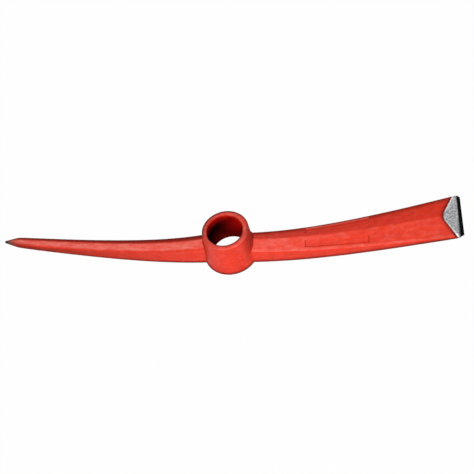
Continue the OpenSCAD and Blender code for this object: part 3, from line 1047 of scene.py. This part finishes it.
DARKEST = 0.92
FOOT_RUN = (1.35, 0.35)  # in widths of the strip of painted shade
SIDE_LATENESS = 1.3  # how late the sides darken along an arm
SIDE_FOOT_SHADE = (0.05, 0.25)  # at the collar and at the end
EDGE_CORE = 0.2  # in widths of the strip of painted shade along the rear edge
EDGE_HALO = 1.75
EDGE_HALO_DARK = 0.3
LINE_RUN = (1.8 * MM, 0.8 * MM)
REAR_RUN = (-1 * MM, 1 * MM)
FRONT_RUN = (-1.5 * MM, 1.0 * MM)
SHOULDER_HIGHLIGHT_START = (0.0, 0.5 * MM)
SHOULDER_HIGHLIGHT_END = (2.8 * MM, 1.5 * MM)
DUST_REACH = (0.8, 0.93)  # in shares of an arm's free length
DUST_RUN = (5 * MM, 1 * MM)
SLOPE_ROOT_SHARE = 0.4


def arm_wear(section, rows, edge_w, edge_dark, side_dark, slope_dark, end_dust):
    """Painted shade along the feet and the rear edge, darkening towards the end, painted highlights on the
    front shoulders and painted sheen on the sides and the front slope of an arm, whose end is darker than its
    root.
    """
    head = section.head
    wear = head.wear
    x, y, z = np.moveaxis(rows, -1, 0)
    half_w, _, side, _, low = section.size_at(head, x)
    wall = np.isin(section.marks, WALL_MARKS)
    out = free_share(head, x, head.point.reach)
    height = z - low
    foot_start, foot_full = (share * wear.foot_w for share in FOOT_RUN)
    foot = blend(wear.foot_dark, wear.foot_end_dark, out) * fade_in(height, foot_start, foot_full)
    sides = side_dark * out ** SIDE_LATENESS + blend(*SIDE_FOOT_SHADE, out) * fade_in(height, side, 0.0)
    inset = half_w - y
    # Painted shade along the rear edge: a strip with a halo, and a thin dark line at the edge itself.
    strip = edge_dark * fade_in(inset, edge_w, EDGE_CORE * edge_w)
    halo = EDGE_HALO_DARK * fade_in(inset, EDGE_HALO * edge_w, edge_w)
    line = blend(wear.line_dark, DARKEST, out) * fade_in(inset, *LINE_RUN)
    rear = np.maximum(strip + halo, line) * fade_in(y, *REAR_RUN)
    front_inset = half_w + y
    dust = end_dust * fade_in(out, *DUST_REACH) * fade_in(front_inset, *DUST_RUN)
    slopes = np.maximum.reduce([rear, slope_dark * blend(SLOPE_ROOT_SHARE, 1.0, out), dust])
    crease = wall * np.maximum(foot, sides) + section.roof * slopes
    # Painted highlight along the front shoulders, and painted sheen on the sides and the front slope.
    shoulder = fade_in(front_inset, *SHOULDER_HIGHLIGHT_START) * fade_in(front_inset, *SHOULDER_HIGHLIGHT_END)
    painted_highlight = wear.shoulder_highlight * section.roof * shoulder + wear.side_sheen * wall
    front_slope = np.isin(section.marks, SLOPE_MARKS) * fade_in(-y, *FRONT_RUN)
    return {"crease": np.minimum(crease, DARKEST), "lightened": front_slope, "painted_highlight": painted_highlight}


def point_wear(section, rows):
    """Painted shade, highlights and sheen of the point arm and of its tip."""
    head, wear = section.head, section.head.wear
    x = rows[..., 0]
    half_w = section.size_at(head, x)[0]
    layers = arm_wear(
        section, rows, half_w, wear.point_edge_dark, wear.point_side_dark, wear.point_slope_dark,
        wear.point_dust)
    sheen = blend(wear.point_sheen, wear.point_end_sheen, free_share(head, x, head.point.reach))
    layers["bloom"] = sheen * layers.pop("lightened") + layers.pop("painted_highlight")
    return layers


# Painted shade, painted highlights and sheen, and outline of the collar. A turn is a run in degrees from the
# front.

OUTSIDE_DEPTH = 0.3 * MM
RIM_DEPTH = 0.9  # in rounds of the rim
FOOT_CORE = 0.4  # in widths of the dirty strip
LOW_SHADE = 0.14
LOW_RUN = (14 * MM, 3 * MM)
LEFT_FOOT_SHADE = 0.32
LEFT_FOOT_RUN = (-8 * MM, -20 * MM)
BEHIND_TURN = (155, 108)
RIGHT_TURN = (40, 70)
RIGHT_TOP_SHARE = 0.6
RIGHT_TOP_RUN = (43 * MM, 32 * MM)
RIGHT_FOOT_SHARE = 0.5
RIGHT_FOOT_RUN = (2 * MM, 14 * MM)
LEFT_TURN = (40, 72)
LEFT_TOP_SHARE = 0.3
LEFT_TOP_RUN = (38 * MM, 26 * MM)
RIM_LINE_RUN = (3.0 * MM, 1.7 * MM)
RIM_LINE_START = (-16 * MM, -2 * MM)
RIM_RIGHT_SHARE = 0.6
RIM_RIGHT_RUN = (6 * MM, 20 * MM)
RIM_LEFT_SHADE = 0.32
RIM_LEFT_RUN = (-4 * MM, -20 * MM)
RIM_REAR_SHADE = 0.16
RIM_REAR_RUN = (0, 18 * MM)
MOUTH_SHADOW = 0.7
MOUTH_SHADOW_RUN = (3.4 * MM, 1.4 * MM)
MOUTH_FRONT_RUN = (0, -8 * MM)
MOUTH_RIGHT_RUN = (-14 * MM, -8 * MM)
MOUTH_HIGHLIGHT = 0.3
MOUTH_HIGHLIGHT_RUN = (2.6 * MM, 1.2 * MM)
MOUTH_REAR_RUN = (-8 * MM, 0)
MOUTH_LEFT_RUN = (-9 * MM, -13 * MM)
FLANK_SHEEN = 0.7
LINING_REACH = 0.85  # in rounds of the mouth
ARC_POINTS = 9
FLANK_POINTS = 24
RIM_POINTS = 4
LAND_POINTS = 6
CONE_POINTS = 14
FOOT_POINTS = 6


class PICKHEAD_OT_collar(bpy.types.Operator):
    """Turn the eye collar."""

    bl_idname = "pickhead.collar"
    bl_label = "Eye Collar"

    def execute(self, context):
        head = context.scene.pick_head
        collar = head.collar
        path = collar.eye_radius
        points = [(r - path, -z, 0.0) for r, z in self.outline(head)]
        edges = [(i, (i + 1) % len(points)) for i in range(len(points))]
        piece = new_object("painted_collar", points, [], edges)
        turn_to_mesh(piece, turned_ring_tree(), {
            "Path Radius": path, "Segments": collar.segments, "Material": red_enamel(head)})
        face_outwards(piece.data)
        self.wear(piece.data, head)
        self.shift_rim(piece.data, collar)
        finish_piece(piece, red_enamel(head), "eye_collar")
        self.line_eye(piece.data, collar, eye_lining(head))
        return {"FINISHED"}

    @staticmethod
    def wear(mesh, head):
        """Painted shade on the lower edge and on the flanks over the arms, painted shade and shadow at the
        narrow rim, and painted sheen and a painted highlight on the rim and flanks.
        """
        collar, wear = head.collar, head.wear
        x, y, z = mesh_points(mesh).T
        radius = np.hypot(x, y)
        outside = radius > collar.radius - OUTSIDE_DEPTH
        # Painted shade along the collar's foot, wider on the point's side.
        low_down = fade_in(z, *LOW_RUN)
        foot = wear.foot_dark * fade_in(z, wear.foot_w, FOOT_CORE * wear.foot_w) + LOW_SHADE * low_down
        left_foot = LEFT_FOOT_SHADE * low_down * fade_in(x, *LEFT_FOOT_RUN)

        # Painted shade on the collar's flanks over both arms, fading out behind.
        turn = np.degrees(np.abs(np.arctan2(x, -y)))
        not_behind = fade_in(turn, *BEHIND_TURN)
        below_top = blend(RIGHT_TOP_SHARE, 1.0, fade_in(z, *RIGHT_TOP_RUN))
        above_foot = blend(RIGHT_FOOT_SHARE, 1.0, fade_in(z, *RIGHT_FOOT_RUN))
        right = wear.right_dark * (x > 0) * fade_in(turn, *RIGHT_TURN) * not_behind * below_top * above_foot
        over_arm = blend(LEFT_TOP_SHARE, 1.0, fade_in(z, *LEFT_TOP_RUN))
        left = wear.left_dark * (x < 0) * fade_in(turn, *LEFT_TURN) * not_behind * over_arm
        flank = np.maximum.reduce([foot, left_foot, right, left])

        # Painted shade at the narrow rim: a dark outline on its outer edge, shade on its left and rear, and a
        # painted shadow below the front of the mouth.
        rim = z > collar.height - RIM_DEPTH * collar.rim_round
        in_rim = collar.radius - radius
        in_eye = radius - collar.eye_radius
        to_rear = fade_in(y, *RIM_LINE_START)
        from_chisel = blend(1.0, RIM_RIGHT_SHARE, fade_in(x, *RIM_RIGHT_RUN))
        outer = DARKEST * to_rear * from_chisel * fade_in(in_rim, *RIM_LINE_RUN)
        shade = RIM_LEFT_SHADE * fade_in(x, *RIM_LEFT_RUN) + RIM_REAR_SHADE * fade_in(y, *RIM_REAR_RUN)
        front_mouth = fade_in(y, *MOUTH_FRONT_RUN) * fade_in(x, *MOUTH_RIGHT_RUN)
        inner = MOUTH_SHADOW * front_mouth * fade_in(in_eye, *MOUTH_SHADOW_RUN)
        crease = outside * flank + rim * np.maximum.reduce([outer, shade, inner])
        add_attribute(mesh, "crease", np.minimum(crease, DARKEST))

        # Painted highlight on the rear and left edge of the mouth, and painted sheen on the rim and flanks.
        rear_or_left = np.maximum(fade_in(y, *MOUTH_REAR_RUN), fade_in(x, *MOUTH_LEFT_RUN))
        painted_highlight = MOUTH_HIGHLIGHT * rear_or_left * fade_in(in_eye, *MOUTH_HIGHLIGHT_RUN)
        bloom = rim * (wear.rim_sheen + painted_highlight) + FLANK_SHEEN * wear.side_sheen * outside
        add_attribute(mesh, "bloom", bloom)

    @staticmethod
    def shift_rim(mesh, collar):
        """Moves the narrow rim's outer edge and the eye's mouth apart, as in a hand forged collar."""
        place = mesh_points(mesh)
        radius = np.hypot(place[:, 0], place[:, 1])
        outer = fade_in(radius, collar.eye_radius, collar.radius)
        high = fade_in(place[:, 2], collar.height - 2 * collar.eye_land, collar.height)
        place[:, 0] += high * blend(-collar.mouth_shift, collar.rim_shift, outer)
        mesh.vertices.foreach_set("co", place.ravel())

    @staticmethod
    def line_eye(mesh, collar, material):
        """Gives the faces inside the eye their own material."""
        mesh.materials.append(material)
        reach = collar.eye_radius + LINING_REACH * collar.mouth_round
        for face in mesh.polygons:
            if math.hypot(face.center.x, face.center.y) < reach:
                face.material_index = 1

    @staticmethod
    def outline(head):
        """Outline of the collar's wall as radius and height, with rounded rims."""
        collar = head.collar
        r, mouth = collar.rim_round, collar.mouth_round

        def arc(centre_r, centre_z, first, size=r):
            angles = np.radians(first + np.linspace(0, 90, ARC_POINTS))
            return [(centre_r + size * math.cos(a), centre_z + size * math.sin(a)) for a in angles]

        def run(start, end, count):
            return [tuple(blend(np.array(start), np.array(end), t)) for t in inner_shares(count)]

        outside_low = arc(collar.foot_radius - r, r, -90)
        heights = blend(r, collar.height - r, inner_shares(FLANK_POINTS))
        flank = [(collar_radius_at(head, z), z) for z in heights]
        outside_high = arc(collar.radius - r, collar.height - r, 0)
        inside_high = arc(collar.eye_radius + mouth, collar.height - mouth, 90, mouth)
        land_end = (collar.eye_radius, collar.height - collar.eye_land)
        inside_low = arc(collar.eye_radius + collar.eye_taper + r, r, 180)
        return [*outside_low, *flank, *outside_high,
                *run(outside_high[-1], inside_high[0], RIM_POINTS), *inside_high,
                *run(inside_high[-1], land_end, LAND_POINTS), land_end,
                *run(land_end, inside_low[0], CONE_POINTS), *inside_low,
                *run(inside_low[-1], outside_low[0], FOOT_POINTS)]


class PICKHEAD_OT_point_arm(bpy.types.Operator):
    """Loft the point arm from the collar to its steel tip."""

    bl_idname = "pickhead.point_arm"
    bl_label = "Point Arm"

    def execute(self, context):
        head = context.scene.pick_head
        section = point_section(head)
        rows = lay_rows(section, [
            *root_stations(head, section), *body_stations(ROOT_STATION, head.point.joint)])
        to_joint = head.point.joint - rows[..., 0]
        forged_arm("painted_point_arm", "point_arm", section, rows, point_wear(section, rows), to_joint, True)
        return {"FINISHED"}


class PICKHEAD_OT_point_tip(bpy.types.Operator):
    """Loft the steel tip of the point arm."""

    bl_idname = "pickhead.point_tip"
    bl_label = "Point Tip"

    def execute(self, context):
        head = context.scene.pick_head
        section = point_section(head)
        rows = lay_rows(section, eased(head.point.joint, head.point.reach, TIP_SHARES))
        piece = loft_piece("steel_tip", section, rows, point_wear(section, rows), True)
        finish_piece(piece, worn_tip(head), "point_tip")
        return {"FINISHED"}


class PICKHEAD_OT_chisel_arm(bpy.types.Operator):
    """Loft the chisel arm from the collar to its steel bit, with its sunk panels."""

    bl_idname = "pickhead.chisel_arm"
    bl_label = "Chisel Arm"

    NOSE_SEAM_SHARE = 0.8
    SEAM_FLANKS = (12 * MM, 22 * MM)
    SEAM_LINE_RUN = (3.2 * MM, 1.5 * MM)
    SEAM_HALO_DARK = (0.3, 0.5)  # on the front and on the rear
    SEAM_HALO_RUN = (6 * MM, 1.5 * MM)
    SEAM_REAR = (4 * MM, 20 * MM)
    PANEL_SHEEN_RUN = (70 * MM, 150 * MM)  # where the painted sheen of the front slope changes
    STRIP_SHADE_CUT = 0.5
    FLOOR_SHEEN_CUT = 0.35
    WALL_SHEEN_CUT = 0.8

    def execute(self, context):
        head = context.scene.pick_head
        section = chisel_section(head)
        seam = bit_seam(head, section)
        rows = lay_rows(section, [*root_stations(head, section), *self.stations(head.chisel, seam)])
        to_seam = SEAM_LEAN * (seam - rows[..., 0])
        rows[..., 2] -= seam_dip(head, to_seam) * section.roof
        wear = self.wear(section, rows, to_seam)
        forged_arm("painted_chisel_arm", "chisel_arm", section, rows, wear, to_seam)
        return {"FINISHED"}

    @staticmethod
    def stations(chisel, seam):
        """Stations along the arm, closer together at the panels' walls and at the seam."""
        walls = chisel.panel_wall * np.array([*WALL_STOPS, 1.0])
        panel_end = chisel.panel_start + chisel.panel_len
        fixed = [*(chisel.panel_start + walls), *(panel_end - walls)]
        closing = 1 - np.array(SEAM_SHARES)[::-1]
        late = [*(closing[0] * inner_shares(LAST_ARM_ROWS)), *closing]
        return [*body_stations(ROOT_STATION, SEAM_STATION, fixed), *eased(SEAM_STATION, seam, late)]

    def wear(self, section, rows, to_seam):
        """Painted shade and sheen of the arm, with the dark seam line at the bit, painted shade at the
        panels' walls and the painted highlight of the rear strip.
        """
        wear = section.head.wear
        layers = arm_wear(
            section, rows, wear.edge_w, wear.edge_dark, wear.chisel_side_dark, 0.0, wear.chisel_dust)
        x, y = rows[..., 0], rows[..., 1]
        # The seam line is the paint's edge at the bit, with painted shade in a wider halo that is darker
        # towards the rear.
        flanks = blend(self.NOSE_SEAM_SHARE, 1.0, fade_in(np.abs(y), *self.SEAM_FLANKS))
        thin = wear.seam_dark * flanks * fade_in(to_seam, *self.SEAM_LINE_RUN)
        to_rear = fade_in(y, *self.SEAM_REAR)
        wide = blend(*self.SEAM_HALO_DARK, to_rear) * fade_in(to_seam, *self.SEAM_HALO_RUN)
        seam_line = section.roof * np.maximum(thin, wide)
        walls, floors, rear_strip = section.panel_marks(rows)
        # The rear strip below a panel is a painted highlight, and the painted shade there is lessened.
        darkening = layers["crease"] * (1 - self.STRIP_SHADE_CUT * rear_strip)
        # Painted shade at the foot of the panels' walls joins the rest.
        crease = np.maximum.reduce([darkening, seam_line, wear.panel_dark * walls])
        # Painted sheen on the front slope, less on the panels' floors and walls, with the painted highlight
        # of the rear strip.
        past_panel = fade_in(x, *self.PANEL_SHEEN_RUN)
        sheen = blend(wear.chisel_sheen, wear.end_sheen, past_panel)
        sheen = sheen * (1 - self.FLOOR_SHEEN_CUT * floors) * (1 - self.WALL_SHEEN_CUT * walls)
        bloom = sheen * layers["lightened"] + layers["painted_highlight"] + wear.rear_highlight * rear_strip
        return {"crease": crease, "bloom": bloom}


class PICKHEAD_OT_chisel_bit(bpy.types.Operator):
    """Grind the steel bit at the end of the chisel arm."""

    bl_idname = "pickhead.chisel_bit"
    bl_label = "Chisel Bit"

    # Painted highlight on the lip along the seam: strongest at the rear and at the front corner.
    LIP_RUN = (2.0 * MM, 1.0 * MM)
    FRONT_LIP = 0.3
    FRONT = (-4 * MM, 14 * MM)
    FRONT_CORNER = (17 * MM, 24 * MM)
    REAR_LIP = 0.8
    REAR = (3 * MM, 12 * MM)
    REAR_CORNER_LIP = 0.15
    REAR_CORNER = (16 * MM, 23 * MM)
    LAND_START = (2.0 * MM, 3.5 * MM)  # before the land's own edge, at the rear and at the front
    LAND_FULL = 0.9 * MM
    LAND_EASE = 1.3

    def execute(self, context):
        head = context.scene.pick_head
        chisel = head.chisel
        section = chisel_section(head)
        seam = bit_seam(head, section)
        land_x = chisel.reach - chisel.land_len
        rows = lay_rows(section, [
            *eased(seam, land_x, BEVEL_SHARES), *eased(land_x, chisel.reach, LAND_SHARES)])
        x, y, z = np.moveaxis(rows, -1, 0)
        from_seam = SEAM_LEAN * (x - seam)
        z[:] = np.minimum(z, bevel_height(head, x)) - seam_dip(head, from_seam) * section.roof
        look = self.look(x, y, from_seam, land_x, section.roof)
        ground = np.clip((x - seam) / (chisel.reach - seam), 0.0, 1.0)
        x -= chisel.edge_skew * ground * y / chisel.edge_w
        piece = loft_piece("ground_bit", section, rows, look)
        finish_piece(piece, ground_steel(head), "chisel_bit", BIT_SMOOTH_DEGREES)
        return {"FINISHED"}

    def look(self, x, y, from_seam, land_x, roof):
        """Weights of the painted highlight on the lip along the seam, and of the black land, partly a painted
        dark reflection.
        """
        front = fade_in(-y, *self.FRONT)
        front_corner = fade_in(-y, *self.FRONT_CORNER)
        rear = fade_in(y, *self.REAR)
        rear_corner = fade_in(y, *self.REAR_CORNER)
        along_seam = np.maximum.reduce([self.FRONT_LIP * front, self.REAR_LIP * rear, front_corner])
        lip = along_seam * fade_in(from_seam, *self.LIP_RUN)
        # The land is painted black: partly hardened steel, partly a painted dark reflection.
        land_start = land_x - blend(*self.LAND_START, front)
        land = fade_in(x, land_start, land_x - self.LAND_FULL) ** self.LAND_EASE
        return {"lip": roof * np.maximum(lip, self.REAR_CORNER_LIP * rear_corner), "land": land}


class PICKHEAD_OT_beads(bpy.types.Operator):
    """Lay the weld beads round the roots of both arms."""

    bl_idname = "pickhead.beads"
    bl_label = "Weld Beads"

    ROOF_RUN = (-3 * MM, 2 * MM)  # heights from the arm's shoulder over which a bead turns darker as painted shade

    def execute(self, context):
        head = context.scene.pick_head
        beads, wear = head.beads, head.wear
        tree = weld_bead_tree()
        jobs = (
            ("point_bead", "point_arm_weld", point_section, head.point, wear.point_bead_dark, True),
            ("chisel_bead", "chisel_arm_weld", chisel_section, head.chisel, wear.chisel_bead_dark, False),
        )
        for name, node, section_of, arm, side_dark, mirrored in jobs:
            points = self.path(head, section_of(head))
            if mirrored:
                points = mirror_x(points)
            piece = new_object(name, points, [], [(i, i + 1) for i in range(len(points) - 1)])
            turn_to_mesh(piece, tree, {
                "Radius": beads.radius, "Ripple": beads.ripple, "Pitch": beads.pitch,
                "Material": red_enamel(head)})
            face_outwards(piece.data)
            # Painted shade at the roots: each bead darkens, most over the arm's roof.
            height = mesh_points(piece.data)[:, 2] - arm.root_side
            dark = blend(side_dark, wear.root_dark, fade_in(height, *self.ROOF_RUN))
            add_attribute(piece.data, "crease", dark)
            finish_piece(piece, red_enamel(head), node, BEAD_SMOOTH_DEGREES)
        return {"FINISHED"}

    @staticmethod
    def path(head, section):
        """The corner between an arm and the collar, moved a little into both."""
        sink = head.beads.sink
        ring = section.ring(section.boundary(head.collar.radius, saddle(head, sink)))
        path = ring[section.marks != "bottom"]
        path = path[path[:, 2] > head.beads.start]
        inward = np.array([0.0, 0.0, path[:, 2].mean()]) - path
        inward[:, 0] = 0.0
        inward /= np.linalg.norm(inward, axis=1, keepdims=True)
        return path + inward * sink


# Stage

FLOOR_SIDES = 96
FLOOR_DROP = 0.3 * MM
SENSOR_WIDTH = 36.0
WHITE = (1.0, 1.0, 1.0, 1.0)


def direction(azimuth, elevation):
    """Direction from the origin, where azimuth 0 is -Y and a quarter turn is +X."""
    flat = math.cos(elevation)
    return Vector((math.sin(azimuth) * flat, -math.cos(azimuth) * flat, math.sin(elevation)))


def seen_directly(tree):
    """1 for camera, glossy and transmission rays, and 0 for the rest."""
    rays = add_node(tree, "ShaderNodeLightPath").outputs
    first = math_node(tree, "MAXIMUM", rays["Is Camera Ray"], rays["Is Glossy Ray"])
    return math_node(tree, "MAXIMUM", first, rays["Is Transmission Ray"])


class PICKHEAD_OT_stage(bpy.types.Operator):
    """Set up the floor, the light, the world and the camera."""

    bl_idname = "pickhead.stage"
    bl_label = "Stage"

    def execute(self, context):
        scene = context.scene
        stage = scene.pick_head.stage
        scene.view_settings.view_transform = "Standard"
        self.floor(stage)
        self.world(scene, stage)
        self.key_light(scene, stage)
        self.camera(scene, stage)
        return {"FINISHED"}

    @staticmethod
    def floor(stage):
        turns = np.linspace(0, 2 * math.pi, FLOOR_SIDES, endpoint=False)
        radius = stage.floor_radius
        rim = [(radius * math.cos(a), radius * math.sin(a), -FLOOR_DROP) for a in turns]
        floor = new_object("floor", rim, [tuple(range(len(rim)))])
        material, tree, shader = new_material("pale_floor")
        set_inputs(tree, shader, {
            "Base Color": rgba(stage.floor), "Roughness": DULL_ROUGHNESS, "Specular IOR Level": 0.0})
        white = add_node(tree, "ShaderNodeEmission", {"Color": WHITE, "Strength": 1.0})
        share = math_node(tree, "MULTIPLY", seen_directly(tree), stage.floor_glow)
        mixed = add_node(tree, "ShaderNodeMixShader", {0: share, 1: shader.outputs[0], 2: white.outputs[0]})
        tree.links.new(mixed.outputs[0], tree.nodes["Material Output"].inputs["Surface"])
        floor.data.materials.append(material)

    @staticmethod
    def world(scene, stage):
        world = bpy.data.worlds.new("studio")
        world.use_nodes = True
        tree = world.node_tree
        strength = map_range(tree, seen_directly(tree), 0.0, 1.0, stage.ambient, 1.0)
        set_inputs(tree, tree.nodes["Background"], {"Color": WHITE, "Strength": strength})
        scene.world = world

    @staticmethod
    def key_light(scene, stage):
        key = bpy.data.lights.new("key", "AREA")
        key.shape = "DISK"
        key.size = stage.key_size
        key.energy = stage.key
        lamp = bpy.data.objects.new("key", key)
        out = direction(stage.key_azimuth, stage.key_elevation)
        lamp.location = stage.key_distance * out
        lamp.rotation_euler = out.to_track_quat("Z", "Y").to_euler()
        scene.collection.objects.link(lamp)

    @staticmethod
    def camera(scene, stage):
        roll = stage.roll
        back = direction(stage.azimuth, stage.elevation)
        level = direction(stage.azimuth + math.pi / 2, 0.0)
        upright = back.cross(level)
        right = math.cos(roll) * level + math.sin(roll) * upright
        up = math.cos(roll) * upright - math.sin(roll) * level
        data = bpy.data.cameras.new("camera")
        data.sensor_width = SENSOR_WIDTH
        data.lens = stage.lens
        camera = bpy.data.objects.new("camera", data)
        place = stage.distance * back + stage.aim_right * right + stage.aim_up * up
        axes = Matrix((right, up, back)).transposed()
        camera.matrix_world = Matrix.Translation(place) @ axes.to_4x4()
        scene.collection.objects.link(camera)
        scene.camera = camera


OPERATORS = (
    PICKHEAD_OT_collar,
    PICKHEAD_OT_point_arm,
    PICKHEAD_OT_point_tip,
    PICKHEAD_OT_chisel_arm,
    PICKHEAD_OT_chisel_bit,
    PICKHEAD_OT_beads,
    PICKHEAD_OT_stage,
)


class PICKHEAD_PT_sidebar(bpy.types.Panel):
    """Lists the steps that build the pick axe head."""

    bl_label = "Pick Axe Head"
    bl_space_type = "VIEW_3D"
    bl_region_type = "UI"
    bl_category = "Pick Head"

    def draw(self, context):
        for operator in OPERATORS:
            self.layout.operator(operator.bl_idname)


CLASSES = (
    CollarSizes,
    ArmSizes,
    PointSizes,
    ChiselSizes,
    BeadSizes,
    PaintLook,
    WearLook,
    SteelLook,
    StageSettings,
    PickHeadSettings,
    *OPERATORS,
    PICKHEAD_PT_sidebar,
)


def register():
    for cls in CLASSES:
        bpy.utils.register_class(cls)
    bpy.types.Scene.pick_head = bpy.props.PointerProperty(type=PickHeadSettings)


def unregister():
    del bpy.types.Scene.pick_head
    for cls in reversed(CLASSES):
        bpy.utils.unregister_class(cls)


def main():
    register()
    bpy.ops.pickhead.collar()
    bpy.ops.pickhead.point_arm()
    bpy.ops.pickhead.point_tip()
    bpy.ops.pickhead.chisel_arm()
    bpy.ops.pickhead.chisel_bit()
    bpy.ops.pickhead.beads()
    bpy.ops.pickhead.stage()


if __name__ == "__main__":
    main()
